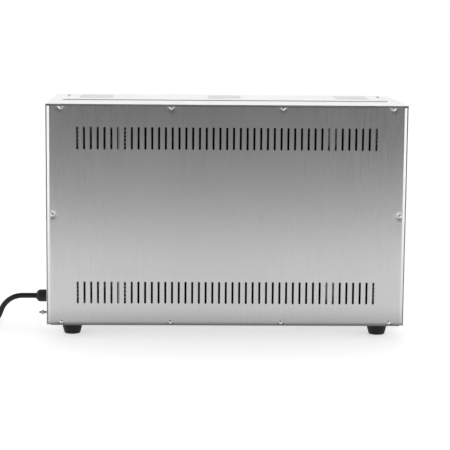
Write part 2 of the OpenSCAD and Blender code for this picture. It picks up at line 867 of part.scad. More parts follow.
// Drip tray
module drip_tray() {
    color("silver") difference() {
        block(tray_x0, tray_x1, face_y0 + sheet, tray_y1, tray_z0, tray_z1);
        block(tray_x0 + sheet, tray_x1 - sheet, face_y0 + 2 * sheet, tray_y1 - sheet,
            tray_z0 + sheet, tray_z1 + cut);
    }
}

module drip_tray_front() {
    mid_x = (face_x0 + face_x1) / 2;
    color("silver") {
        difference() {
            block(face_x0, face_x1, face_y0, face_y1, face_z0, face_z1);
            block(face_x0 + sheet, face_x1 - sheet, face_y0 + sheet, face_y1 + cut,
                face_z0 + sheet, face_z1 - sheet);
        }
        rod_x(mid_x - 70, mid_x + 70, face_y0 - 24, 56, 6);
        for (s = [-1, 1]) rod_y(face_y0 - 24, face_y0 + eps, mid_x + s * 55, 56, 4);
    }
}

// Controls
module control_body(z, size) {
    body_y = front_in + 2;
    translate([control_x, 0, z]) difference() {
        union() {
            block(-size[0] / 2, size[0] / 2, body_y, body_y + size[1], -size[2] / 2, size[2] / 2);
            rod_y(panel_front - 5, body_y + eps, 0, 0, 5);
            translate([0, panel_front - 2, 0]) rotate([-90, 0, 0]) cylinder(h = 2, r = 8, $fn = 6);
            for (s = [-1, 1]) {
                block(s * 12 - 3, s * 12 + 3, body_y + size[1] - eps, body_y + size[1] + 8, -0.4, 0.4);
            }
        }
        rod_y(panel_front - 6, body_y + 12, 0, 0, knob_shaft_r + bush_clear);
    }
}

module thermostat() {
    color("beige") control_body(thermostat_z, [44, 34, 48]);
}

module timer() {
    color("whitesmoke") control_body(timer_z, [50, 46, 50]);
}

// A knob with a skirt, a raised grip and its spindle
module knob(z) {
    back_y = panel_front - 1.2;
    translate([control_x, back_y, z]) rotate([90, 0, 0]) {
        difference() {
            union() {
                rotate_extrude() polygon([[0, 4.4], [9.5, 4.4], [9.5, 0], [24, 0], [24, 2.5], [19, 5],
                    [17.5, 19], [16, 20.5], [0, 20.5]]);
                translate([-3.5, -17, 12]) cube([7, 34, 12.5]);
            }
            translate([-0.6, 8, 24]) cube([1.2, 10, 2]);
        }
    }
    rod_y(back_y - 5, front_in + 12, control_x, z, knob_shaft_r);
}

module thermostat_knob() {
    color("black") knob(thermostat_z);
}

module timer_knob() {
    color("black") knob(timer_z);
}

module rocker_housings() {
    color("black") for (x = rocker_xs) translate([x, 0, rocker_z]) difference() {
        union() {
            upright(panel_front - 2, panel_front) round_rect(-12, 12, -16, 16, 2);
            block(-10, 10, panel_front - eps, panel_front + 24, -14, 14);
            for (s = [-1, 1]) {
                block(-3, 3, panel_front + 24 - eps, panel_front + 32, s * 7 - 0.4, s * 7 + 0.4);
            }
        }
        block(-8.3, 8.3, panel_front - 3, panel_front + 12, -12.6, 12.6);
        rod_x(-9.3, 9.3, rocker_y, 0, 1.55);
    }
}

// A rocker lying in its off position, its lower end pressed in
module rocker(x) {
    translate([x, rocker_y, rocker_z]) rotate([rocker_tilt, 0, 0]) {
        rotate([90, 0, 90]) translate([0, 0, -8]) linear_extrude(16) {
            polygon([[3, -11.5], [-3.6, -11.5], [-4.4, -6], [-4.7, 0], [-4.4, 6], [-3.6, 11.5], [3, 11.5]]);
        }
        rod_x(-9.2, 9.2, 0, 0, 1.5);
    }
}

module motor_rocker() {
    color("darkred") rocker(rocker_xs[0]);
}

module lamp_rocker() {
    color("darkgreen") rocker(rocker_xs[1]);
}

module indicator_lamps() {
    color("orange") for (x = light_xs) translate([x, 0, light_z]) {
        rod_y(panel_front, panel_front + 22, 0, 0, 5.9);
        rod_y(panel_front - 1.5, panel_front, 0, 0, 8);
        intersection() {
            translate([0, panel_front + 4, 0]) sphere(8);
            rod_y(panel_front - 6, panel_front - 1, 0, 0, 7);
        }
    }
}

module terminal_block() {
    block_x = 322;
    color("ivory") difference() {
        union() {
            block(block_x, block_x + 56, 52, 72, base_z + sheet, base_z + 12);
            for (i = [0 : 4]) translate([block_x + 6 + i * 11, 0, 0]) {
                block(-4, 4, 54, 70, base_z + 12 - eps, base_z + 20);
            }
        }
        for (i = [0 : 4]) for (y = [58, 66]) rod_z(base_z + 14, base_z + 21, block_x + 6 + i * 11, y, 2);
    }
}

// Mains side
module cable_gland() {
    color("black") translate([half_w, gland_y, gland_z]) rotate([0, 90, 0]) {
        rotate_extrude() polygon([[0, -10], [10, -10], [10, 0], [13.8, 0], [13.8, 20.5], [13.3, 22.2],
            [12.2, 24.2], [10, 26.4], [7.4, 28.2], [6.6, gland_l], [0, gland_l]]);
        translate([0, 0, -sheet - 5]) cylinder(h = 5, r = 14, $fn = 6);
    }
}

module earth_stud() {
    color("silver") translate([half_w, stud_y, stud_z]) rotate([0, 90, 0]) {
        translate([0, 0, -14]) cylinder(h = stud_end_x - half_w + 14, r = stud_r);
        translate([0, 0, -sheet - 4.5]) cylinder(h = 4.5, r = 5.7, $fn = 6);
        cylinder(h = 1.2, r = 6);
        translate([0, 0, 1.2 - eps]) cylinder(h = 4, r = 5.5, $fn = 6);
        translate([0, 0, 13]) cylinder(h = 1, r = 5.5);
        translate([0, 0, 14 - eps]) cylinder(h = 4, r = 5.5, $fn = 6);
    }
}

// The rings of a round tube along points in an upright plane
function along(points, i) = points[min(i + 1, len(points) - 1)] - points[max(i - 1, 0)];
function tube_ring(points, i, r, sides) =
    let (t = along(points, i) / norm(along(points, i)), side = [0, 1, 0], up = cross(t, side))
    [for (j = [0 : sides - 1]) points[i] + r * (cos(j * 360 / sides) * side + sin(j * 360 / sides) * up)];

module tube(points, r, sides) {
    rings = len(points);
    polyhedron(
        points = [for (i = [0 : rings - 1]) each tube_ring(points, i, r, sides)],
        faces = concat(
            [[for (j = [0 : sides - 1]) j]],
            [for (i = [0 : rings - 2]) for (j = [0 : sides - 1])
                [i * sides + j, (i + 1) * sides + j, (i + 1) * sides + (j + 1) % sides,
                    i * sides + (j + 1) % sides]],
            [[for (j = [sides - 1 : -1 : 0]) (rings - 1) * sides + j]]),
        convexity = 4);
}

module mains_cord() {
    color("black") tube(cord_route, cord_d / 2, cord_sides);
}

module cord_coil() {
    color("black") translate([coil_x, coil_y, 0]) rotate_extrude($fn = 96) {
        round_rect(coil_r - cord_d, coil_r + cord_d, 0, 2 * cord_d, 5.5);
    }
}

// A round two-pin plug lying beside the coil, its tapered relief against the last turn
module mains_plug() {
    color("black") translate([plug_x, plug_y, plug_z]) rotate([90, 0, 0]) {
        rotate_extrude() polygon([[0, 0], [6.2, 0], [9, 42], [11, 46], [17, 54], [18, 58], [18, 84],
            [16.5, 86], [0, 86]]);
        for (s = [-1, 1]) translate([s * 9.5, 0, 86 - eps]) {
            cylinder(h = 17.5, r = 2.4);
            translate([0, 0, 17.5 - eps]) cylinder(h = 1.5, r1 = 2.4, r2 = 1.2);
        }
    }
}

left_side_panel();
right_side_panel();
top_panel();
top_cover();
casing_screws();
back_panel();
rear_frame();
bottom_pan();
front_frame();
control_panel();
rubber_feet();
foot_bolts();
cavity_back();
cavity_top();
cavity_left_wall();
cavity_right_wall();
insulation();
rear_heaters();
top_heater();
heater_fittings();
lamp_holder();
lamp_glass();
tray_runners();
spit_rests();
drive_frame();
shaft_bushes();
gear_motor();
hinge_brackets();
thermostat();
timer();
rocker_housings();
indicator_lamps();
terminal_block();
cable_gland();
earth_stud();
mains_cord();
cord_coil();
mains_plug();
drip_tray();
drip_tray_front();
door_frame();
door_glass();
door_retainer();
door_gasket();
door_handle();
upper_drive_shaft();
upper_drive_gear();
lower_drive_shaft();
lower_drive_gear();
motor_pinion();
upper_spit();
lower_spit();
upper_left_fork();
upper_right_fork();
lower_left_fork();
lower_right_fork();
thermostat_knob();
timer_knob();
motor_rocker();
lamp_rocker();
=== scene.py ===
import math
import bmesh
import bpy
from mathutils import Matrix, Vector, noise


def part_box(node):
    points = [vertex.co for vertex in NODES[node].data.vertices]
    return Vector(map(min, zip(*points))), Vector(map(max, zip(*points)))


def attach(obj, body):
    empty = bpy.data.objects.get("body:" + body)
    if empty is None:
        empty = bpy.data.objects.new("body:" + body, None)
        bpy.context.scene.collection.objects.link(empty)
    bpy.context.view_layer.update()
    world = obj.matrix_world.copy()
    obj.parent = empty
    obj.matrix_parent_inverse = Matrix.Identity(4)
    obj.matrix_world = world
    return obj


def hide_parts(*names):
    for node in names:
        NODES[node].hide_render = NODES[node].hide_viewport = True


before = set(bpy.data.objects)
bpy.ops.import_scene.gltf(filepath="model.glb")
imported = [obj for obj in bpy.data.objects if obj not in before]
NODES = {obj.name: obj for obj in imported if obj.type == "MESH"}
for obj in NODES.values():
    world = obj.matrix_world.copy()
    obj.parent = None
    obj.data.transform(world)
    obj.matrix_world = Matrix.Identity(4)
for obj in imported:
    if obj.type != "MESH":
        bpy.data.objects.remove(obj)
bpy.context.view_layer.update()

MM = 0.001
BASE = "oven_body"
SHEET = 1.2          # thickness of the casing's sheet, mm
SIDE_BEND = 8.0      # outside radius of the back panel's side bends, mm
EDGE_BEND = 3.0      # and of those along its top and bottom


def mm(*values):
    """A point given in millimetres, in metres."""
    return Vector([v * MM for v in values])


def node_box(name):
    """A CAD node's lowest corner, highest corner and middle, in millimetres."""
    lo, hi = (Vector(corner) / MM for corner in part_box(name))
    return lo, hi, (lo + hi) / 2


def smooth(t):
    """An S-shaped step that rises from 0 to 1 as t does."""
    t = max(0.0, min(1.0, t))
    return t * t * (3 - 2 * t)


# ---------------------------------------------------------------- camera

cam_data = bpy.data.cameras.new("camera")
cam = bpy.data.objects.new("camera", cam_data)
bpy.context.scene.collection.objects.link(cam)
cam.location = (0.1157, 3.763, 0.7593)
cam.rotation_mode = "QUATERNION"
turn = Matrix.Rotation(math.radians(178.5518), 4, "Z") @ Matrix.Rotation(math.radians(81.6133), 4, "X")
cam.rotation_quaternion = (turn @ Matrix.Rotation(math.radians(0.4868), 4, "Z")).to_quaternion()
cam_data.sensor_width = 36
cam_data.lens = 130.43
cam_data.shift_x = 0.0222
cam_data.shift_y = 0.0222
cam_data.clip_end = 100
bpy.context.scene.camera = cam
bpy.context.scene.view_settings.view_transform = "Standard"


# ---------------------------------------------------------------- mesh helpers

def add_mesh(name, bm, material=None, flat=False):
    """Makes an object of a bmesh, with outward normals."""
    bmesh.ops.recalc_face_normals(bm, faces=bm.faces)
    data = bpy.data.meshes.new(name)
    bm.to_mesh(data)
    bm.free()
    obj = bpy.data.objects.new(name, data)
    bpy.context.scene.collection.objects.link(obj)
    for p in data.polygons:
        p.use_smooth = not flat
    if material:
        data.materials.append(material)
    return obj


def smooth_by_angle(obj, degrees=35):
    """Sharp edges above an angle, so that flat faces stay flat under smooth shading."""
    bm = bmesh.new()
    bm.from_mesh(obj.data)
    limit = math.radians(degrees)
    for e in bm.edges:
        e.smooth = not (len(e.link_faces) == 2 and e.calc_face_angle(0) > limit)
    bm.to_mesh(obj.data)
    bm.free()
    return obj


def piece(name, bm, material, body=BASE, replaces=(), angle=35):
    """A finished piece of the object: named, shaded, riding on a body."""
    obj = smooth_by_angle(add_mesh(name, bm, M[material]), angle)
    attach(obj, body)
    if replaces:
        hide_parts(*replaces)
    return obj


def join_rings(bm, rings):
    """Faces between each ring of points and the next. A ring of one point closes an end."""
    for a, b in zip(rings, rings[1:]):
        count = max(len(a), len(b))
        for i in range(count):
            j = (i + 1) % count
            if len(a) == 1 and len(b) == 1:
                continue
            if len(a) == 1:
                bm.faces.new((a[0], b[j], b[i]))
            elif len(b) == 1:
                bm.faces.new((a[i], a[j], b[0]))
            else:
                bm.faces.new((a[i], a[j], b[j], b[i]))


def lathe(bm, profile, centre, axis, sides=48, ribs=0, depth=0.0):
    """Turns a profile of (radius, height) pairs in mm about an axis from a centre in mm.
    A third number in a pair says how much of the ribs' depth that ring takes."""
    axis = Vector(axis).normalized()
    side = axis.orthogonal().normalized()
    up = axis.cross(side)
    rings = []
    for point in profile:
        r, h = point[:2]
        share = point[2] if len(point) > 2 else 0.0
        base = Vector(centre) + axis * h
        if r < 1e-4:
            rings.append([bm.verts.new(base * MM)])
            continue
        ring = []
        for i in range(sides):
            a = 2 * math.pi * i / sides
            q = r - share * depth * (0.5 + 0.5 * math.cos(ribs * a)) ** 2
            ring.append(bm.verts.new((base + side * (q * math.cos(a)) + up * (q * math.sin(a))) * MM))
        rings.append(ring)
    join_rings(bm, rings)


def tube(bm, points, radius, sides=16):
    """A round tube along points in metres, closed at both ends. The radius is in mm."""
    rings, side = [], None
    for i, p in enumerate(points):
        t = (points[min(i + 1, len(points) - 1)] - points[max(i - 1, 0)]).normalized()
        side = t.orthogonal().normalized() if side is None else (side - t * side.dot(t)).normalized()
        up = t.cross(side)
        ring = []
        for k in range(sides):
            q = 2 * math.pi * k / sides
            ring.append(bm.verts.new(p + (side * math.cos(q) + up * math.sin(q)) * radius * MM))
        rings.append(ring)
    join_rings(bm, rings)
    bm.faces.new(rings[0])
    bm.faces.new(rings[-1])


def box(bm, lo, hi, bevel=0.0, segments=2, spin=None):
    """A box between two corners in mm with its edges rounded, then turned by a matrix."""
    lo, hi = Vector(lo), Vector(hi)
    made = bmesh.ops.create_cube(bm, size=1.0)["verts"]
    for v in made:
        v.co = Vector([(lo[i] + hi[i]) / 2 + v.co[i] * (hi[i] - lo[i]) for i in range(3)]) * MM
    if bevel:
        edges = list({e for v in made for e in v.link_edges})
        out = bmesh.ops.bevel(bm, geom=edges, offset=bevel * MM, segments=segments, profile=0.5,
                              affect="EDGES")
        made = [v for v in set(made) | set(out["verts"]) if v.is_valid]
    if spin is not None:
        bmesh.ops.transform(bm, matrix=spin, verts=made)


def prism(bm, outline, y0, y1, at=(0, 0), bevel=0.0):
    """An outline of (x, z) points in mm, extruded from y0 to y1."""
    near = [bm.verts.new(mm(x + at[0], y0, z + at[1])) for x, z in outline]
    far = [bm.verts.new(mm(x + at[0], y1, z + at[1])) for x, z in outline]
    ends = [bm.faces.new(near), bm.faces.new(far)]
    join_rings(bm, [near, far])
    if bevel:
        edges = list({e for f in ends for e in f.edges})
        bmesh.ops.bevel(bm, geom=edges, offset=bevel * MM, segments=2, profile=0.5, affect="EDGES")


def round_outline(x0, x1, z0, z1, r, steps=8):
    """The outline of a rectangle with round corners."""
    out = []
    corners = ((x1 - r, z1 - r), (x0 + r, z1 - r), (x0 + r, z0 + r), (x1 - r, z0 + r))
    for start, (cx, cz) in zip((0, 90, 180, 270), corners):
        for k in range(steps + 1):
            a = math.radians(start + 90 * k / steps)
            out.append((cx + r * math.cos(a), cz + r * math.sin(a)))
    return out


def hexagon(r, turn=0):
    """The outline of a hexagon with its corners r from the middle."""
    angles = [math.radians(60 * k + turn) for k in range(6)]
    return [(r * math.cos(a), r * math.sin(a)) for a in angles]


def islands(name):
    """The boxes of the separate solids in a CAD node, in mm, from the lowest x up."""
    bm = bmesh.new()
    bm.from_mesh(NODES[name].data)
    bmesh.ops.remove_doubles(bm, verts=bm.verts, dist=1e-6)
    found, seen = [], set()
    for start in bm.verts:
        if start in seen:
            continue
        stack, group = [start], []
        seen.add(start)
        while stack:
            v = stack.pop()
            group.append(v.co / MM)
            for e in v.link_edges:
                w = e.other_vert(v)
                if w not in seen:
                    seen.add(w)
                    stack.append(w)
        lo = Vector([min(p[i] for p in group) for i in range(3)])
        hi = Vector([max(p[i] for p in group) for i in range(3)])
        found.append((lo, hi))
    bm.free()
    return sorted(found, key=lambda b: (round(b[0].x), round(b[0].y), round(b[0].z)))


def cad_copy(name):
    """A CAD node's shape as a clean bmesh, with flat stretches as single faces."""
    bm = bmesh.new()
    bm.from_mesh(NODES[name].data)
    bmesh.ops.remove_doubles(bm, verts=bm.verts, dist=1e-6)
    bmesh.ops.dissolve_limit(bm, angle_limit=math.radians(0.5), verts=bm.verts, edges=bm.edges)
    return bm


def softened(name, material, width, body=BASE):
    """Stands for a CAD node with its sharp edges rounded, as hemmed, pressed or moulded edges are."""
    bm = cad_copy(name)
    edges = [e for e in bm.edges if len(e.link_faces) == 2 and e.calc_face_angle(0) > math.radians(40)]
    bmesh.ops.bevel(bm, geom=edges, offset=width * MM, segments=2, profile=0.5, affect="EDGES",
                    clamp_overlap=True)
    return piece(name + "_finished", bm, material, body, replaces=(name,))


# ---------------------------------------------------------------- materials

class Shade:
    """A material's nodes, with short calls for the ones used here.
    Patterns lie in the row frame, in metres."""

    def __init__(self, name, **sockets):
        self.material = bpy.data.materials.new(name)
        self.material.use_nodes = True
        self.tree = self.material.node_tree
        self.shader = self.tree.nodes["Principled BSDF"]
        self.put(**sockets)
        self.place = self.tree.nodes.new("ShaderNodeTexCoord").outputs["Object"]
        self.height = None

    def put(self, **sockets):
        for key, value in sockets.items():
            socket = self.shader.inputs[key.replace("_", " ")]
            if isinstance(value, bpy.types.NodeSocket):
                self.tree.links.new(value, socket)
            else:
                socket.default_value = (*value, 1) if isinstance(value, tuple) and len(value) == 3 else value

    def node(self, kind, links=None, **settings):
        n = self.tree.nodes.new(kind)
        for key, value in settings.items():
            setattr(n, key, value)
        for key, value in (links or {}).items():
            if isinstance(value, bpy.types.NodeSocket):
                self.tree.links.new(value, n.inputs[key])
            else:
                n.inputs[key].default_value = value
        return n

    def noise(self, scale, detail=2.0, rough=0.5):
        """Noise with its own scale along x, y and z, per metre."""
        scale = scale if isinstance(scale, tuple) else (scale,) * 3
        place = self.node("ShaderNodeMapping", {"Vector": self.place, "Scale": scale}).outputs[0]
        return self.node("ShaderNodeTexNoise", {"Vector": place, "Scale": 1.0, "Detail": detail,
                                                "Roughness": rough}).outputs["Fac"]

    def span(self, value, lo, hi, from_lo=0.25, from_hi=0.75):
        return self.node("ShaderNodeMapRange", {"Value": value, "From Min": from_lo, "From Max": from_hi,
                                                "To Min": lo, "To Max": hi}).outputs[0]

    def blend(self, factor, a, b):
        n = self.node("ShaderNodeMix", {"Factor": factor}, data_type="RGBA")
        for key, value in ((6, a), (7, b)):
            if isinstance(value, bpy.types.NodeSocket):
                self.tree.links.new(value, n.inputs[key])
            else:
                n.inputs[key].default_value = (*value, 1) if len(value) == 3 else value
        return n.outputs[2]

    def ramp(self, value, stops):
        """A run of levels along 0 to 1, from (position, level) pairs."""
        n = self.node("ShaderNodeValToRGB", {"Fac": value})
        points = n.color_ramp.elements
        points.remove(points[-1])
        points[0].position = stops[0][0]
        points[0].color = (stops[0][1],) * 3 + (1.0,)
        for at, level in stops[1:]:
            points.new(at).color = (level,) * 3 + (1.0,)
        return n.outputs["Color"]

    def math(self, operation, a, b=0.0):
        return self.node("ShaderNodeMath", {0: a, 1: b}, operation=operation).outputs[0]

    def bump(self, height, distance, strength=1.0):
        """Adds a bump on top of those before it."""
        links = {"Height": height, "Distance": distance, "Strength": strength}
        if self.height is not None:
            links["Normal"] = self.height
        self.height = self.node("ShaderNodeBump", links).outputs[0]
        self.put(Normal=self.height)


def brushed(name, tone, along, rough=(0.26, 0.33), wave=0.0003, grain=0.000014, painted_shade=()):
    """Brushed stainless sheet with its grain along one axis, a little waviness and faint streaks.
    Its last argument lists heights above the back panel's lower edge, in mm, and how much of the tone is left
    there: painted shade that darkens the lower edge."""
    s = Shade(name, Metallic=1.0, Specular_IOR_Level=0.5)
    fine = [900.0, 900.0, 900.0]
    wide = [110.0, 110.0, 110.0]
    fine[along] = 9.0
    wide[along] = 2.5
    scratch = s.noise(tuple(fine), 3.0, 0.6)
    streak = s.noise(tuple(wide), 2.0, 0.5)
    cloud = s.noise(2.2, 3.0, 0.55)
    dark = tuple(c * 0.99 for c in tone)
    light = tuple(min(1.0, c * 1.01) for c in tone)
    colour = s.blend(s.span(streak, 0.0, 1.0), dark, light)
    # Painted shade: the ramp below darkens the colour towards the back panel's lower edge
    if painted_shade:
        top = painted_shade[-1][0]
        z = s.node("ShaderNodeSeparateXYZ", {"Vector": s.place}).outputs[2]
        base = node_box("back_panel")[0].z
        low = s.span(z, 0.0, 1.0, base * MM, (base + top) * MM)
        left = s.ramp(low, [(at / top, part) for at, part in painted_shade])
        colour = s.blend(left, (0.0, 0.0, 0.0), colour)
    s.put(Base_Color=colour)
    mixed = s.math("ADD", s.math("MULTIPLY", scratch, 0.55), s.math("MULTIPLY", cloud, 0.45))
    s.put(Roughness=s.span(mixed, rough[0], rough[1], 0.35, 0.65))
    s.bump(scratch, grain, 0.6)
    s.bump(s.noise(3.2, 1.0, 0.4), wave, 0.5)
    return s.material


def plated(name, tone, rough=(0.12, 0.26)):
    """Small bright plated or turned metal with handling marks."""
    s = Shade(name, Metallic=1.0)
    marks = s.noise(700.0, 3.0, 0.6)
    s.put(Base_Color=s.blend(s.noise(90.0), tuple(c * 0.88 for c in tone), tone))
    s.put(Roughness=s.span(marks, rough[0], rough[1]))
    s.bump(marks, 0.00003, 0.5)
    return s.material


def moulded(name, tone, rough=(0.38, 0.52), grain=2200.0, depth=0.00004, coat=0.0, gloss=0.5):
    """Moulded plastic or rubber with a fine spark-eroded grain and a little dust."""
    s = Shade(name, Coat_Weight=coat, Specular_IOR_Level=gloss)
    dust = s.noise(28.0, 4.0, 0.6)
    pale = tuple(min(1.0, c * 1.25 + 0.004) for c in tone)
    s.put(Base_Color=s.blend(s.span(dust, 0.0, 1.0, 0.4, 0.75), tone, pale))
    s.put(Roughness=s.span(dust, rough[0], rough[1]))
    s.bump(s.noise(grain, 2.0, 0.6), depth, 0.6)
    return s.material


def clear(name, tint, rough=0.02):
    """Glass or a clear lens, faintly smeared."""
    s = Shade(name, Base_Color=tint, Transmission_Weight=1.0, IOR=1.46)
    smear = s.noise(14.0, 4.0, 0.6)
    s.put(Roughness=s.span(smear, rough, rough + 0.05, 0.45, 0.8))
    s.bump(s.noise(5.0, 1.0, 0.4), 0.0003, 0.3)
    return s.material


def wool(name):
    """Mineral wool: short fibres in dusty layers."""
    s = Shade(name, Specular_IOR_Level=0.1)
    fibre = s.noise((260.0, 900.0, 260.0), 5.0, 0.7)
    s.put(Base_Color=s.blend(fibre, (0.003, 0.003, 0.0028), (0.012, 0.0115, 0.0105)))
    s.put(Roughness=s.span(fibre, 0.8, 1.0))
    s.bump(fibre, 0.002, 0.9)
    return s.material


def oxidised(name, tone):
    """A heater's dark sheath, with the bluish and straw tints that heat leaves."""
    s = Shade(name, Metallic=0.8)
    tint = s.noise((18.0, 60.0, 60.0), 3.0, 0.5)
    s.put(Base_Color=s.blend(s.span(tint, 0.0, 1.0), tone, (0.10, 0.075, 0.055)))
    s.put(Roughness=s.span(s.noise(400.0, 3.0, 0.6), 0.4, 0.6))
    s.bump(s.noise(900.0, 2.0, 0.6), 0.00003, 0.5)
    return s.material


STEEL = (0.583, 0.583, 0.588)
# Painted shade: how much of the back panel's tone is left near its lower edge, by the height above it in mm;
# the darkening stands in for the dark reflection along that edge
LOW_EDGE_PAINTED_SHADE = ((0.0, 0.25), (3.5, 0.3), (6.0, 0.5), (9.0, 0.74), (14.0, 0.79), (24.0, 0.87), (36.0, 0.96),
             (50.0, 1.0))
M = {
    "back": brushed("stainless_back", STEEL, 2, painted_shade=LOW_EDGE_PAINTED_SHADE),
    "side": brushed("stainless_side", STEEL, 2),
    # Painted highlight: the top is the same stainless as the sides, given a lighter tone so that it reads as
    # brightly lit
    "top": brushed("stainless_top_painted_bright", (0.84, 0.84, 0.845), 0),
    "front": brushed("stainless_front", (0.58, 0.58, 0.585), 0, rough=(0.2, 0.3)),
    "inner": brushed("aluminised_sheet", (0.42, 0.42, 0.43), 0, rough=(0.34, 0.46), wave=0.0008),
    "tray": brushed("tray_sheet", (0.55, 0.55, 0.555), 0, rough=(0.28, 0.4)),
    "bright": plated("bright_steel", (0.66, 0.65, 0.64)),
    "screw": plated("nickel_screw", (0.80, 0.79, 0.77), rough=(0.08, 0.18)),
    "stud": plated("nickel_stud", (0.42, 0.41, 0.40), rough=(0.10, 0.2)),
    "rubber": moulded("black_rubber", (0.006, 0.006, 0.0065), rough=(0.5, 0.66), grain=1500.0, gloss=0.28),
    "plastic": moulded("black_plastic", (0.008, 0.008, 0.009), rough=(0.36, 0.48), gloss=0.3),
    "sheath": moulded("cord_sheath", (0.007, 0.007, 0.008), rough=(0.42, 0.56), grain=1200.0, gloss=0.28),
    "wool": wool("mineral_wool"),
    "heater": oxidised("heater_sheath", (0.055, 0.06, 0.075)),
    "ceramic": moulded("glazed_ceramic", (0.82, 0.80, 0.75), rough=(0.15, 0.28), grain=300.0, coat=0.4),
    "glass": clear("clear_glass", (0.93, 0.97, 0.96)),
    "gasket": moulded("silicone_gasket", (0.05, 0.046, 0.042), rough=(0.55, 0.7), grain=900.0),
    "gear": plated("gear_steel", (0.42, 0.42, 0.43), rough=(0.26, 0.42)),
    "bronze": plated("bronze", (0.56, 0.36, 0.17), rough=(0.28, 0.42)),
    "brass": plated("brass", (0.72, 0.55, 0.26), rough=(0.2, 0.34)),
    "motor": moulded("motor_paint", (0.05, 0.055, 0.06), rough=(0.35, 0.5), grain=600.0, coat=0.2),
    "control": moulded("control_plastic", (0.70, 0.68, 0.62), rough=(0.35, 0.5)),
    "red": moulded("red_plastic", (0.42, 0.02, 0.015), rough=(0.25, 0.38), coat=0.3),
    "green": moulded("green_plastic", (0.02, 0.20, 0.05), rough=(0.25, 0.38), coat=0.3),
    "amber": clear("amber_lens", (1.0, 0.45, 0.08), 0.08),
    "ink": moulded("printed_ink", (0.02, 0.02, 0.022), rough=(0.4, 0.55), grain=500.0, depth=0.00001),
    "white": moulded("white_inlay", (0.82, 0.82, 0.80), rough=(0.35, 0.5), grain=900.0),
    "wire_red": moulded("wire_sleeve_brown", (0.16, 0.06, 0.03), rough=(0.4, 0.5)),
    "wire_blue": moulded("wire_sleeve_blue", (0.03, 0.10, 0.32), rough=(0.4, 0.5)),
    "wire_earth": moulded("wire_sleeve_green", (0.30, 0.42, 0.04), rough=(0.4, 0.5)),
}

FINISH = {
    "side": ["left_side_panel", "right_side_panel"],
    "top": ["top_panel"],
    "front": ["front_frame"],
    "inner": ["rear_frame", "bottom_pan", "cavity_back", "cavity_top", "cavity_left_wall",
              "cavity_right_wall", "tray_runners", "spit_rests", "drive_frame", "door_retainer"],
    "bright": ["foot_bolts", "heater_fittings", "upper_drive_shaft", "lower_drive_shaft"],
    "heater": ["rear_heaters", "top_heater"],
    "glass": ["lamp_glass", "door_glass"],
    "gasket": ["door_gasket"],
    "gear": ["upper_drive_gear", "lower_drive_gear"],
    "bronze": ["shaft_bushes"],
    "brass": ["motor_pinion"],
}
for finish, names in FINISH.items():
    for name in names:
        NODES[name].data.materials.clear()
        NODES[name].data.materials.append(M[finish])

# Sheet-metal and moulded pieces whose edges are rounded: node, material, radius in mm, body
SOFTENED = [
    ("top_cover", "top", 0.35, BASE), ("control_panel", "front", 0.35, BASE),
    ("hinge_brackets", "bright", 0.5, BASE), ("gear_motor", "motor", 0.8, BASE),
    ("thermostat", "control", 0.8, BASE), ("timer", "control", 0.8, BASE),
    ("terminal_block", "ceramic", 0.5, BASE), ("rocker_housings", "plastic", 0.4, BASE),
    ("door_frame", "front", 0.4, "door"), ("drip_tray", "tray", 0.35, "drip_tray"),
    ("upper_spit", "bright", 0.6, "upper_spit"), ("lower_spit", "bright", 0.6, "lower_spit"),
    ("upper_left_fork", "bright", 0.4, "upper_left_fork"),
    ("upper_right_fork", "bright", 0.4, "upper_right_fork"),
    ("lower_left_fork", "bright", 0.4, "lower_left_fork"),
    ("lower_right_fork", "bright", 0.4, "lower_right_fork"),
]
for name, material, width, body in SOFTENED:
    softened(name, material, width, body)


# ---------------------------------------------------------------- mains cord

CORD_D = 12.0
STRAIGHT_X = 460.0     # where the cord starts to bend down, mm
BEND_R = 52.0          # radius of its two bends
COIL_R = 66.0          # radius of the coil at the middle of its turns
_, gland_hi, gland_mid = node_box("cable_gland")
coil_mid = node_box("cord_coil")[2]
_, plug_hi, plug_mid = node_box("mains_plug")
exit_point = Vector((gland_hi.x, gland_mid.y, gland_mid.z))


def cord_down():
    """Straight out of the gland, down in two equal bends, and along the floor to the coil."""
    y, high, low = exit_point.y, exit_point.z, CORD_D / 2
    bend = math.acos(1 - (high - low) / (2 * BEND_R))
    end_x = STRAIGHT_X + 2 * BEND_R * math.sin(bend)
    steps = 18
    points = [(x, y, high) for x in (exit_point.x, 442, STRAIGHT_X)]
    for i in range(1, steps + 1):
        a = bend * i / steps
        points.append((STRAIGHT_X + BEND_R * math.sin(a), y, high - BEND_R * (1 - math.cos(a))))
    for i in range(steps - 1, -1, -1):
        a = bend * i / steps
        points.append((end_x - BEND_R * math.sin(a), y, low + BEND_R * (1 - math.cos(a))))
    return points + [(x, y, low) for x in (578, 595)]


def coil_point(angle):
    """A point of the coil, angle degrees clockwise from where the cord comes in: one turn outside, one
    inside it, then up and out over both."""
    inner, outer, low, high = COIL_R - CORD_D / 2, COIL_R + CORD_D / 2, CORD_D / 2, 1.5 * CORD_D
    r = outer - (outer - inner) * smooth((angle - 270) / 95) + (outer - inner) * smooth((angle - 880) / 95)
    z = low + (high - low) * smooth((angle - 600) / 70)
    a = math.radians(90 - angle)
    return (coil_mid.x + r * math.cos(a), coil_mid.y + r * math.sin(a), z)


coil_points = [coil_point(a) for a in range(0, 1171, 6)]
tail_x, tail_z = plug_mid.x, coil_points[-1][2]
tail = [(tail_x, plug_hi.y + d, tail_z) for d in (19, 12, 6, 0)]
route = [mm(*p) for p in cord_down() + coil_points + tail]

bm = bmesh.new()
tube(bm, route, CORD_D / 2)
cord = piece("mains_lead", bm, "sheath", replaces=("mains_cord", "cord_coil"), angle=60)

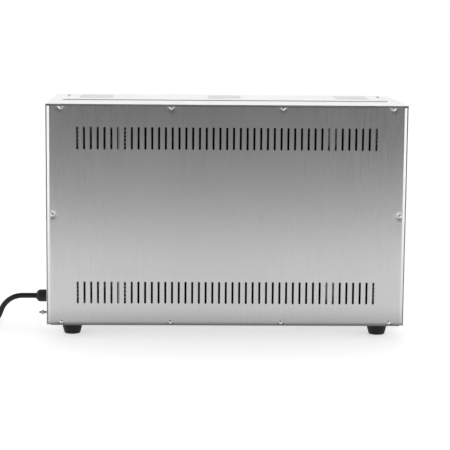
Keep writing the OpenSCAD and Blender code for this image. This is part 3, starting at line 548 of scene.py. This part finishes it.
# The plug: a ribbed relief, a grip with ten finger ribs and a face with two round pins
bm = bmesh.new()
plug_end = Vector((tail_x, plug_hi.y, tail_z))
profile = [(0, 0), (6.2, 0)]
for i in range(7):
    z = 3 + i * 5.6
    r = 6.3 + i * 0.42
    profile += [(r, z), (r + 0.9, z + 0.6), (r + 0.95, z + 2.6), (r + 0.1, z + 3.2)]
profile += [(9.2, 43), (11.4, 46), (14.2, 49.6), (16.6, 53.4), (17.6, 56), (18, 59), (18, 62), (17.3, 63),
            (17.3, 64.2), (18, 65.2, 0), (18, 67, 1), (18, 80, 1), (18, 82.5, 0), (17.6, 84.4), (16.4, 85.8),
            (15, 86), (0, 86)]
lathe(bm, profile, plug_end, (0, -1, 0), 120, ribs=20, depth=1.0)
plug = piece("plug_body", bm, "rubber", replaces=("mains_plug",), angle=40)

bm = bmesh.new()
for s in (-1, 1):
    pin = [(0, 85), (2.4, 85), (2.4, 102), (2.1, 103.6), (1.2, 104.7), (0, 105)]
    lathe(bm, pin, plug_end + Vector((s * 9.5, 0, 0)), (0, -1, 0), 24)
pins = piece("plug_pins", bm, "screw")


def cord_tie():
    """A flat band closed round the two by two bundle of turns at the coil's far side."""
    bundle_x = coil_mid.x - COIL_R
    outline = round_outline(bundle_x - 14.6, bundle_x + 14.6, 0.4, 24.9, 6.0)
    inner = round_outline(bundle_x - 13.7, bundle_x + 13.7, 1.3, 24.0, 5.1)
    rows = []
    for y, inset in ((-5, 0.25), (-4.7, 0), (4.7, 0), (5, 0.25)):
        mid = Vector((bundle_x, 12.6))
        ring = [Vector(p) - (Vector(p) - mid).normalized() * inset for p in outline]
        rows.append([mm(p.x, coil_mid.y + y, p.y) for p in ring])
    for y in (5, -5):
        rows.append([mm(p[0], coil_mid.y + y, p[1]) for p in inner])
    made = bmesh.new()
    rings = [[made.verts.new(p) for p in row] for row in rows]
    join_rings(made, rings + rings[:1])
    return made


tie = piece("coil_tie", cord_tie(), "plastic", angle=50)


# ---------------------------------------------------------------- cable gland and earth stud

bm = bmesh.new()
side_x = node_box("right_side_panel")[1].x
profile = [(0, -10), (10, -10), (10, 0), (13.8, 0), (13.8, 3.6), (13.3, 4.0), (13.3, 4.6), (13.8, 5.0, 0),
           (13.8, 5.8, 1), (13.8, 19.6, 1), (13.7, 20.6, 0.5), (13.3, 22), (12.5, 23.6), (11.2, 25.2),
           (9.6, 26.6), (8.0, 27.6), (7.2, 28), (7.2, 28.3), (6.7, 28.5), (0, 28.5)]
gland_seat = Vector((side_x, gland_mid.y, gland_mid.z))
lathe(bm, profile, gland_seat, (1, 0, 0), 144, ribs=24, depth=0.7)
nut = bmesh.new()
prism(nut, hexagon(14), SHEET, SHEET + 5, bevel=0.4)
nut_place = Matrix.Translation(gland_seat * MM) @ Matrix.Rotation(math.radians(90), 4, "Z")
bmesh.ops.transform(nut, matrix=nut_place, verts=nut.verts)
nut_data = bpy.data.meshes.new("gland_nut")
nut.to_mesh(nut_data)
nut.free()
bm.from_mesh(nut_data)
piece("gland_body", bm, "plastic", replaces=("cable_gland",), angle=30)


def along_x(build, x, y, z):
    """Builds a shape about the y axis and lays it along +x from a point in mm."""
    made = bmesh.new()
    build(made)
    spin = Matrix.Translation(mm(x, y, z)) @ Matrix.Rotation(math.radians(-90), 4, "Z")
    bmesh.ops.transform(made, matrix=spin, verts=made.verts)
    return made


_, stud_hi, stud_mid = node_box("earth_stud")
STUD_R, THREAD, STUD_TAIL = 3.0, 1.0, 14


def stud_shape(made):
    """The threaded stud with its washers and nuts, along y from the outside of the side panel."""
    end = stud_hi.x - side_x
    profile = [(0, -STUD_TAIL), (STUD_R - 0.4, -STUD_TAIL)]
    turns = int((end + STUD_TAIL - 1.2) / THREAD)
    for i in range(turns):
        z = THREAD * i - STUD_TAIL
        profile += [(STUD_R - 0.45, z + 0.15), (STUD_R, z + 0.5), (STUD_R - 0.45, z + 0.85)]
    profile += [(STUD_R - 0.5, end - 0.3), (STUD_R - 0.9, end), (0, end)]
    lathe(made, profile, (0, 0, 0), (0, 1, 0), 32)
    for r, lo, hi in ((6.0, 0, 1.1), (5.5, 13, 14)):
        lathe(made, [(STUD_R, lo), (r - 0.2, lo), (r, lo + 0.2), (r, hi - 0.2), (r - 0.2, hi), (STUD_R, hi)],
              (0, 0, 0), (0, 1, 0), 40)
    for lo, hi, r in ((-SHEET - 4.5, -SHEET, 5.7), (1.2, 5.2, 5.5), (14.05, 18, 5.5)):
        prism(made, hexagon(r, 12 * hi), lo, hi, bevel=0.45)


piece("earth_stud_set", along_x(stud_shape, side_x, stud_mid.y, stud_mid.z), "stud", replaces=("earth_stud",))


# ---------------------------------------------------------------- screws and the panel they pull in

HEAD_R, HEAD_H, RECESS = 3.9, 2.4, 1.1
screws = islands("casing_screws")
back_y = node_box("back_panel")[1].y
back_screws = [(lo + hi) / 2 for lo, hi in screws if hi.y > back_y]
cover_screws = [(lo + hi) / 2 for lo, hi in screws if hi.y <= back_y]
cover_top = node_box("top_cover")[1].z


def screw(bm, place, axis, shank):
    """A domed pan head with a cross recess, on its shank. place is the middle of the head's seat."""
    axis = Vector(axis)
    side = axis.orthogonal().normalized()
    up = axis.cross(side)
    sides = 48
    turned = 20 + 37 * place.x % 90  # radians, so that no two crosses stand alike
    head = [(1.9, -shank), (1.9, 0), (HEAD_R - 0.2, 0), (HEAD_R, 0.25), (HEAD_R, 0.8), (3.7, 1.35),
            (3.3, 1.8)]
    head += [(3.3 * (1 - k / 12), 1.8 + (HEAD_H - 1.8) * (1 - (1 - k / 12) ** 2)) for k in range(1, 12)]
    rings = [[bm.verts.new((place - axis * shank) * MM)]]
    for r, h in head:
        ring = []
        for i in range(sides):
            a = 2 * math.pi * i / sides
            u, v = r * math.cos(a + turned), r * math.sin(a + turned)
            slot = min(max(abs(u) - 0.42, abs(v) - 1.9), max(abs(v) - 0.42, abs(u) - 1.9))
            sunk = RECESS * (1 - smooth((slot + 0.12) / 0.24)) if h > 1.3 else 0.0
            point = place + axis * (h - sunk) + side * (r * math.cos(a)) + up * (r * math.sin(a))
            ring.append(bm.verts.new(point * MM))
        rings.append(ring)
    rings.append([bm.verts.new((place + axis * (HEAD_H - RECESS)) * MM)])
    join_rings(bm, rings)


DISH_R, DISH_DEPTH, CELL = 13.0, 0.8, 1.2
panel_lo, panel_hi, _ = node_box("back_panel")
flat_x = panel_hi.x - SIDE_BEND
flat_lo, flat_hi = panel_lo.z + EDGE_BEND, panel_hi.z - EDGE_BEND


def dish_depth(x, z):
    """How far the screws pull the flat of the back panel in at a point, in mm."""
    deep = 0.0
    for s in back_screws:
        t = math.hypot(x - s.x, z - s.z) / DISH_R
        if t < 1:
            deep = max(deep, (1 - smooth(t ** 0.8)))
    edge = min(flat_x - abs(x), z - flat_lo, flat_hi - z)
    return DISH_DEPTH * deep * smooth(edge / 4.0)


def touches(face, x0, x1, z0, z1):
    """Whether a face of the panel's back reaches into a rectangle in mm."""
    c = [v.co / MM for v in face.verts]
    return (max(p.x for p in c) > x0 and min(p.x for p in c) < x1 and max(p.z for p in c) > z0
            and min(p.z for p in c) < z1 and min(p.y for p in c) > back_y - SHEET - 0.1)


def dished_panel():
    """The back panel's own shape, cut fine around each screw and pulled in there."""
    bm = cad_copy("back_panel")
    bmesh.ops.triangulate(bm, faces=[f for f in bm.faces if len(f.verts) > 4])
    for s in back_screws:
        x0, x1 = max(s.x - DISH_R, -flat_x), min(s.x + DISH_R, flat_x)
        z0, z1 = max(s.z - DISH_R, flat_lo), min(s.z + DISH_R, flat_hi)
        faces = [f for f in bm.faces if touches(f, x0, x1, z0, z1)]
        lines = [(Vector((1, 0, 0)), x) for x in (x0, x1)] + [(Vector((0, 0, 1)), z) for z in (z0, z1)]
        columns, rows = int((x1 - x0) / CELL), int((z1 - z0) / CELL)
        lines += [(Vector((1, 0, 0)), x0 + (x1 - x0) * i / columns) for i in range(1, columns)]
        lines += [(Vector((0, 0, 1)), z0 + (z1 - z0) * i / rows) for i in range(1, rows)]
        for k, (normal, at) in enumerate(lines):
            geom = set(faces)
            for f in faces:
                geom.update(f.edges)
                geom.update(f.verts)
            out = bmesh.ops.bisect_plane(bm, geom=list(geom), plane_co=normal * at * MM, plane_no=normal,
                                         dist=1e-7)
            faces = [g for g in out["geom"] if isinstance(g, bmesh.types.BMFace)]
            if k < 4:
                faces = [f for f in faces if touches(f, x0, x1, z0, z1)]
    for v in bm.verts:
        if v.co.y > (back_y - SHEET - 0.1) * MM:
            v.co.y -= dish_depth(v.co.x / MM, v.co.z / MM) * MM
    return bm


piece("vented_back_sheet", dished_panel(), "back", replaces=("back_panel",), angle=50)
bm = bmesh.new()
for s in back_screws:
    screw(bm, Vector((s.x, back_y - DISH_DEPTH * 0.9, s.z)), (0, 1, 0), 8)
for s in cover_screws:
    screw(bm, Vector((s.x, s.y, cover_top)), (0, 0, 1), 5)
piece("cross_head_screws", bm, "screw", replaces=("casing_screws",), angle=50)


# ---------------------------------------------------------------- feet

bm = bmesh.new()
for lo, hi in islands("rubber_feet"):
    centre = Vector(((lo.x + hi.x) / 2, (lo.y + hi.y) / 2, 0))
    top_r = (hi.x - lo.x) / 2
    low_r, tall = top_r - 5.4, hi.z
    profile = [(3.2, 12), (8.5, 12), (8.5, 0.6), (9.1, 0), (low_r - 2.2, 0), (low_r - 0.8, 0.35),
               (low_r, 1.4)]
    for k in range(1, 9):
        t = k / 9
        profile.append((low_r + (top_r - low_r) * t, 1.4 + (tall - 5.4) * t))
    profile += [(top_r - 0.1, tall - 3.6), (top_r, tall - 3), (top_r, tall - 0.5), (top_r - 0.5, tall),
                (3.2, tall)]
    lathe(bm, profile, centre, (0, 0, 1), 96)
piece("tapered_feet", bm, "rubber", replaces=("rubber_feet",), angle=40)


# ---------------------------------------------------------------- controls

panel_y = node_box("control_panel")[0].y
knob_mid = {name: node_box(name)[2] for name in ("thermostat_knob", "timer_knob")}
KNOB_R = 24.0


def knob(name):
    """A knob with a fluted skirt, a raised grip and a white pointer line."""
    middle = knob_mid[name]
    back = Vector((middle.x, panel_y - 1.2, middle.z))
    made = bmesh.new()
    profile = [(0, -14.0), (3, -14.0), (3, 4.4), (9.5, 4.4), (9.5, 0), (KNOB_R - 0.4, 0), (KNOB_R, 0.4),
               (KNOB_R, 2.2), (KNOB_R - 0.5, 2.7), (19.4, 4.6), (18.9, 5.6, 0), (18.7, 7, 1),
               (17.8, 17.4, 1), (17.5, 18.6, 0.4), (16.9, 19.7), (15.6, 20.4), (13, 20.5), (0, 20.5)]
    lathe(made, profile, back, (0, -1, 0), 160, ribs=20, depth=0.8)
    grip = round_outline(-3.5, 3.5, -17, 17, 2.2)
    prism(made, grip, back.y - 24.5, back.y - 12, at=(back.x, back.z), bevel=0.6)
    piece(name + "_turned", made, "plastic", name, replaces=(name,), angle=40)
    made = bmesh.new()
    box(made, (back.x - 0.7, back.y - 24.56, back.z + 5), (back.x + 0.7, back.y - 24.2, back.z + 15.6),
        0.1, 1)
    piece(name + "_pointer", made, "white", name)


def dial(name, sweep, marks, minor):
    """Ticks and numbers printed on the panel round a knob, clockwise from the top."""
    middle = knob_mid[name]
    made = bmesh.new()
    count = (len(marks) - 1) * minor
    for i in range(count + 1):
        major = i % minor == 0
        a = math.radians(sweep * i / count)
        spin = Matrix.Translation(mm(middle.x, 0, middle.z)) @ Matrix.Rotation(a, 4, "Y")
        half, long = (0.45, 4.2) if major else (0.25, 2.6)
        near = KNOB_R + 2.2
        box(made, (-half, panel_y - 0.06, near), (half, panel_y + 0.02, near + long), spin=spin)
    piece(name + "_ticks", made, "ink")
    made = bmesh.new()
    for i, label in enumerate(marks):
        a = math.radians(sweep * i / (len(marks) - 1))
        text = bpy.data.curves.new("label", "FONT")
        text.body = label
        text.size = 6.2 * MM
        text.extrude = 0.03 * MM
        text.align_x = "CENTER"
        text.align_y = "CENTER"
        holder = bpy.data.objects.new("label", text)
        flat = bpy.data.meshes.new_from_object(holder)
        bpy.data.objects.remove(holder)
        r = KNOB_R + 13.0
        spot = mm(middle.x + r * math.sin(a) * 1.06, panel_y - 0.03, middle.z + r * math.cos(a))
        flat.transform(Matrix.Translation(spot) @ Matrix.Rotation(math.radians(90), 4, "X"))
        made.from_mesh(flat)
    piece(name + "_numbers", made, "ink")


knob("thermostat_knob")
knob("timer_knob")
dial("thermostat_knob", 290, ["0", "50", "100", "150", "200", "250"], 5)
dial("timer_knob", 320, ["0", "30", "60", "90", "120"], 6)

ROCKER_TILT = 8


def rocker(name, material):
    """A rocker with a crowned face, a bar mark at its top and a ring mark at its foot."""
    middle = node_box(name)[2]
    pivot_y = panel_y + 0.7
    made = bmesh.new()
    face = [(-4.7 + 1.1 * (k / 6) ** 2, 11.5 * k / 6) for k in range(-6, 7)]
    outline = [(3, -11.5)] + face + [(3, 11.5)]
    half = 8.0
    near, far = ([made.verts.new(mm(x, y, z)) for y, z in outline] for x in (-half, half))
    ends = [made.faces.new(near), made.faces.new(far)]
    join_rings(made, [near, far])
    rims = list({e for f in ends for e in f.edges})
    bmesh.ops.bevel(made, geom=rims, offset=0.5 * MM, segments=3, profile=0.5, affect="EDGES")
    lathe(made, [(0, -9.2), (1.5, -9.2), (1.5, 9.2), (0, 9.2)], (0, 0, 0), (1, 0, 0), 24)
    tilt = Matrix.Rotation(math.radians(ROCKER_TILT), 4, "X")
    place = Matrix.Translation(mm(middle.x, pivot_y, middle.z)) @ tilt
    bmesh.ops.transform(made, matrix=place, verts=made.verts)
    piece(name + "_cap", made, material, name, replaces=(name,), angle=30)
    made = bmesh.new()
    box(made, (-0.5, -4.42, 4.4), (0.5, -4.0, 8.4), 0.1, 1)
    ring = [(2.1, 3.9), (2.1, 4.44), (1.5, 4.44), (1.5, 3.9), (2.1, 3.9)]
    lathe(made, ring, (0, 0, -6.2), (0, -1, 0), 32)
    bmesh.ops.transform(made, matrix=place, verts=made.verts)
    piece(name + "_marks", made, "white", name)


rocker("motor_rocker", "red")
rocker("lamp_rocker", "green")

lens, bezels = bmesh.new(), bmesh.new()
for lo, hi in islands("indicator_lamps"):
    x, z = (lo.x + hi.x) / 2, (lo.z + hi.z) / 2
    rise = [math.radians(9 * k) for k in range(1, 10)]
    dome = [(6.2, 1.4)] + [(6.2 * math.cos(a), 1.4 + 2.5 * math.sin(a)) for a in rise] + [(0, 3.9)]
    lathe(lens, [(0, 0.4), (6.2, 0.4)] + dome, (x, panel_y, z), (0, -1, 0), 48)
    lathe(bezels, [(0, -22), (5.9, -22), (5.9, 0), (8, 0), (8, 0.9), (7.6, 1.5), (6.9, 1.5), (6.5, 1.2),
                   (6.5, 0.3), (0, 0.3)], (x, panel_y, z), (0, -1, 0), 48)
piece("signal_lenses", lens, "amber", replaces=("indicator_lamps",))
piece("signal_bezels", bezels, "bright")


# ---------------------------------------------------------------- door and drip tray

handle_lo, handle_hi, handle_mid = node_box("door_handle")
BAR_R = 9.0
bar = Vector((handle_mid.x, handle_lo.y + BAR_R, handle_lo.z))
bar_l = handle_hi.z - handle_lo.z
post_zs = [bar.z + 25, bar.z + bar_l - 25]

bm = bmesh.new()
lathe(bm, [(0, 13), (8.6, 13), (8.8, 13.4), (8.8, bar_l - 13.4), (8.6, bar_l - 13), (0, bar_l - 13)],
      bar, (0, 0, 1), 64)
for z in post_zs:
    reach = handle_hi.y - bar.y
    lathe(bm, [(5.2, 0), (5.2, reach - 5), (5.6, reach - 3.4), (6.6, reach - 2), (7.4, reach - 0.6),
               (7.4, reach), (0, reach)], (bar.x, bar.y, z), (0, 1, 0), 40)
piece("handle_bar", bm, "bright", "door", replaces=("door_handle",), angle=30)
bm = bmesh.new()
for end, way in ((bar.z, 1), (bar.z + bar_l, -1)):
    lathe(bm, [(0, 0), (5.5, 0), (7.6, 0.5), (8.7, 1.7), (BAR_R, 3.2), (BAR_R, 12.2), (8.7, 13), (0, 13)],
          (bar.x, bar.y, end), (0, 0, way), 64)
for z in post_zs:
    collar = [(BAR_R - 0.3, -8.5), (BAR_R, -8), (BAR_R, 8), (BAR_R - 0.3, 8.5), (8, 8.5), (8, -8.5)]
    lathe(bm, collar + collar[:1], (bar.x, bar.y, z), (0, 0, 1), 64)
piece("handle_collars", bm, "plastic", "door", angle=30)

# The drip tray's front: a folded pan with a bar handle on two flanged posts
front_lo, front_hi, front_mid = node_box("drip_tray_front")
TRAY_BAR_R, TRAY_BAR_HALF, TRAY_POST = 6.0, 70.0, 55.0
bar_y, bar_z = front_lo.y + TRAY_BAR_R, front_lo.z + 27
face_y = bar_y + 24
bm = bmesh.new()
bent = 2.0
steps = [(0.0, bent), (0.3, bent * 0.45), (bent * 0.45, 0.3), (bent, 0.0), (front_hi.y - face_y, 0.0)]


def tray_ring(inset, y):
    """The outline of the tray's front at a depth, drawn in all round."""
    lo, hi = front_lo + Vector((inset,) * 3), front_hi - Vector((inset,) * 3)
    return [bm.verts.new(mm(x, y, z)) for x, z in round_outline(lo.x, hi.x, lo.z, hi.z, 3.0)]


rings = [tray_ring(inset, face_y + depth) for depth, inset in steps]
rings += [tray_ring(SHEET, front_hi.y), tray_ring(SHEET, face_y + SHEET)]
join_rings(bm, rings)
bm.faces.new(rings[0])
bm.faces.new(rings[-1])
piece("tray_fascia", bm, "front", "drip_tray", replaces=("drip_tray_front",), angle=50)
bm = bmesh.new()
x0 = front_mid.x - TRAY_BAR_HALF
lathe(bm, [(0, 0), (4.4, 0), (5.6, 0.6), (TRAY_BAR_R, 1.8), (TRAY_BAR_R, 2 * TRAY_BAR_HALF - 1.8),
           (5.6, 2 * TRAY_BAR_HALF - 0.6), (4.4, 2 * TRAY_BAR_HALF), (0, 2 * TRAY_BAR_HALF)],
      (x0, bar_y, bar_z), (1, 0, 0), 48)
for s in (-1, 1):
    reach = face_y - bar_y
    lathe(bm, [(4, 0), (4, reach - 4), (4.6, reach - 2.2), (6.4, reach - 0.8), (6.4, reach), (0, reach)],
          (front_mid.x + s * TRAY_POST, bar_y, bar_z), (0, 1, 0), 32)
piece("tray_handle_bar", bm, "bright", "drip_tray", angle=30)


# ---------------------------------------------------------------- lamp, wool and wiring

wall_x = node_box("cavity_right_wall")[0].x
lamp_mid = node_box("lamp_holder")[2]
lamp_seat = Vector((wall_x, lamp_mid.y, lamp_mid.z))
bm = bmesh.new()
lathe(bm, [(16, 1), (21, 1), (21, 0.3), (20.4, 0), (16, 0), (16, 1)], lamp_seat, (-1, 0, 0), 64)
lathe(bm, [(15, 0), (16.9, 0), (16.9, 33), (16, 34), (0, 34), (0, 28), (8, 28), (8, 24), (15, 24), (15, 0)],
      lamp_seat, (1, 0, 0), 64)
piece("lamp_socket", bm, "ceramic", replaces=("lamp_holder",), angle=40)
bm = bmesh.new()
neck = [(6.2, 24), (6.6, 21)] + [(6.3 if k % 2 else 6.8, 20 - k) for k in range(8)]
lathe(bm, [(0, 24)] + neck + [(6.4, 11.5), (6.4, 11), (0, 11)], lamp_seat, (1, 0, 0), 40)
piece("bulb_cap", bm, "brass", angle=30)
bm = bmesh.new()
swing = [math.radians(52 + 128 * k / 12) for k in range(12)]
bulb = [(6.2, 11)] + [(8 * math.sin(a), 6 + 8 * math.cos(a)) for a in swing] + [(0, -2)]
lathe(bm, bulb, lamp_seat, (1, 0, 0), 40)
piece("bulb_glass", bm, "white")


def wool_slabs():
    """The wool slabs, cut into small cells whose faces lie unevenly, pressed a little inwards."""
    made = cad_copy("insulation")
    bmesh.ops.triangulate(made, faces=[f for f in made.faces if len(f.verts) > 4])
    lo, hi, _ = node_box("insulation")
    cell = 16.0
    for axis in (0, 1, 2):
        normal = Vector([1.0 if i == axis else 0.0 for i in range(3)])
        for k in range(1, int((hi[axis] - lo[axis]) / cell)):
            everything = made.verts[:] + made.edges[:] + made.faces[:]
            bmesh.ops.bisect_plane(made, geom=everything, plane_co=normal * (lo[axis] + k * cell) * MM,
                                   plane_no=normal, dist=1e-7)
    made.normal_update()
    for v in made.verts:
        uneven = 0.5 + 0.5 * noise.noise(v.co * 60) + 0.3 * noise.noise(v.co * 190)
        v.co -= v.normal * max(0.0, uneven) * 1.6 * MM
    return made


piece("wool_slabs", wool_slabs(), "wool", replaces=("insulation",), angle=60)


def wire(points, material, name, radius=1.3):
    """A wire along a smooth line through a few points in mm."""
    ends = [Vector(points[0]) * 2 - Vector(points[1])] + [Vector(p) for p in points]
    ends.append(ends[-1] * 2 - ends[-2])
    line = []
    for a, b, c, d in zip(ends, ends[1:], ends[2:], ends[3:]):
        for k in range(8):
            t = k / 8
            line.append(0.5 * MM * (b * 2 + (c - a) * t + (a * 2 - b * 5 + c * 4 - d) * t * t
                                    + (b * 3 - a - c * 3 + d) * t * t * t))
    line.append(ends[-2] * MM)
    made = bmesh.new()
    tube(made, line, radius, 10)
    piece(name, made, material, angle=60)


block_lo, block_hi, _ = node_box("terminal_block")
thermo_mid, timer_mid = node_box("thermostat")[2], node_box("timer")[2]
motor_hi = node_box("gear_motor")[1]
switch_y = node_box("rocker_housings")[1].y
terminals = [block_lo.x + 6 + 11 * i for i in range(5)]
inner_x = side_x - SHEET - 8
wire([(inner_x - 8, gland_mid.y, gland_mid.z), (inner_x - 24, gland_mid.y - 4, gland_mid.z - 8),
      (terminals[3], 84, 52), (terminals[3], block_hi.y + 1, block_hi.z - 4)], "wire_red", "live_wire", 1.6)
wire([(inner_x - 8, gland_mid.y - 4, gland_mid.z + 3), (inner_x - 34, gland_mid.y - 8, gland_mid.z - 2),
      (terminals[2], 86, 56), (terminals[2], block_hi.y + 1, block_hi.z - 4)],
     "wire_blue", "neutral_wire", 1.6)
wire([(inner_x - 8, gland_mid.y + 4, gland_mid.z - 3), (inner_x - 14, gland_mid.y, gland_mid.z - 14),
      (inner_x - 6, stud_mid.y + 8, stud_mid.z + 10), (inner_x + 2, stud_mid.y, stud_mid.z + 6)],
     "wire_earth", "earth_wire", 1.6)
wire([(terminals[1], block_lo.y - 1, block_hi.z - 4), (terminals[1], 20, 70), (372, -60, 200),
      (372, -90, thermo_mid.z - 40), (thermo_mid.x + 12, -130, thermo_mid.z)], "wire_red", "thermostat_wire")
wire([(terminals[0], block_lo.y - 1, block_hi.z - 4), (terminals[0] + 4, 10, 80), (364, -70, 210),
      (360, -100, timer_mid.z - 10), (timer_mid.x + 12, -120, timer_mid.z)], "wire_blue", "timer_wire")
wire([(345, switch_y, 237), (345, -130, 240), (352, -90, 262), (motor_hi.x + 4, -60, 310),
      (motor_hi.x - 18, -34, 330)], "wire_red", "motor_wire")


# ---------------------------------------------------------------- studio

def light_tent(name, material):
    """The pale floor, rising in a wide curve far behind the oven into a backdrop."""
    line = [(9.0, -0.0005)] + [(9.0 - 13.6 * k / 20, -0.0005) for k in range(1, 21)]
    for k in range(1, 13):
        a = math.pi / 2 * k / 12
        line.append((-4.6 - 2.0 * math.sin(a), 2.0 - 2.0 * math.cos(a)))
    line.append((-6.6, 7.0))
    bm = bmesh.new()
    rows = [[bm.verts.new((x, y, z)) for x in (-11, 11)] for y, z in line]
    for a, b in zip(rows, rows[1:]):
        bm.faces.new((a[0], a[1], b[1], b[0]))
    add_mesh(name, bm, material)


# The paper glows as a light table does: evenly under and beyond the oven, brightest 1.4 m towards the camera
# and not at all from 3 m on. Distances along y in metres, with the strength there.
GLOW = ((0.25, 0.52), (0.5, 0.6), (0.9, 0.68), (1.4, 0.95), (2.0, 0.12), (3.0, 0.0))
GLOW_REACH = 10.0
paper = Shade("studio_paper", Roughness=0.7, Specular_IOR_Level=0.15)
paper.put(Base_Color=paper.blend(paper.noise(1.4, 3.0, 0.5), (0.86, 0.86, 0.86), (0.89, 0.89, 0.89)))
paper.put(Emission_Color=(1.0, 1.0, 1.0))
along_y = paper.node("ShaderNodeSeparateXYZ", {"Vector": paper.place}).outputs["Y"]
along = paper.span(along_y, 0.0, 1.0, 0.0, GLOW_REACH)
paper.put(Emission_Strength=paper.ramp(along, [(y / GLOW_REACH, strength) for y, strength in GLOW]))
light_tent("floor", paper.material)

world = bpy.data.worlds.new("studio")
world.use_nodes = True
world.node_tree.nodes["Background"].inputs[0].default_value = (0.09, 0.09, 0.09, 1)
world.node_tree.nodes["Background"].inputs[1].default_value = 1.0
bpy.context.scene.world = world


def softbox(name, place, aim, size, energy):
    """An area light at a place, turned to a point. The camera doesn't see it."""
    data = bpy.data.lights.new(name, "AREA")
    data.shape = "RECTANGLE"
    data.size, data.size_y = size
    data.energy = energy
    obj = bpy.data.objects.new(name, data)
    bpy.context.scene.collection.objects.link(obj)
    obj.location = place
    obj.rotation_mode = "QUATERNION"
    obj.rotation_quaternion = (Vector(aim) - Vector(place)).to_track_quat("-Z", "Y")
    obj.visible_camera = False


softbox("overhead", (0.0, -0.3, 2.9), (0.0, -0.1, 0.0), (2.6, 2.2), 14)
for side, name in ((1, "left"), (-1, "right")):
    softbox(name + "_rear_box", (side * 1.65, 1.6, 0.72), (0.0, 0.2, 0.3), (1.4, 1.4), 11.2)
    softbox(name + "_side_box", (side * 1.9, 0.0, 0.72), (0.0, 0.1, 0.3), (1.6, 1.4), 9)
softbox("backdrop_box", (0.0, -3.6, 4.2), (0.0, -4.9, 0.6), (7.0, 2.5), 68)
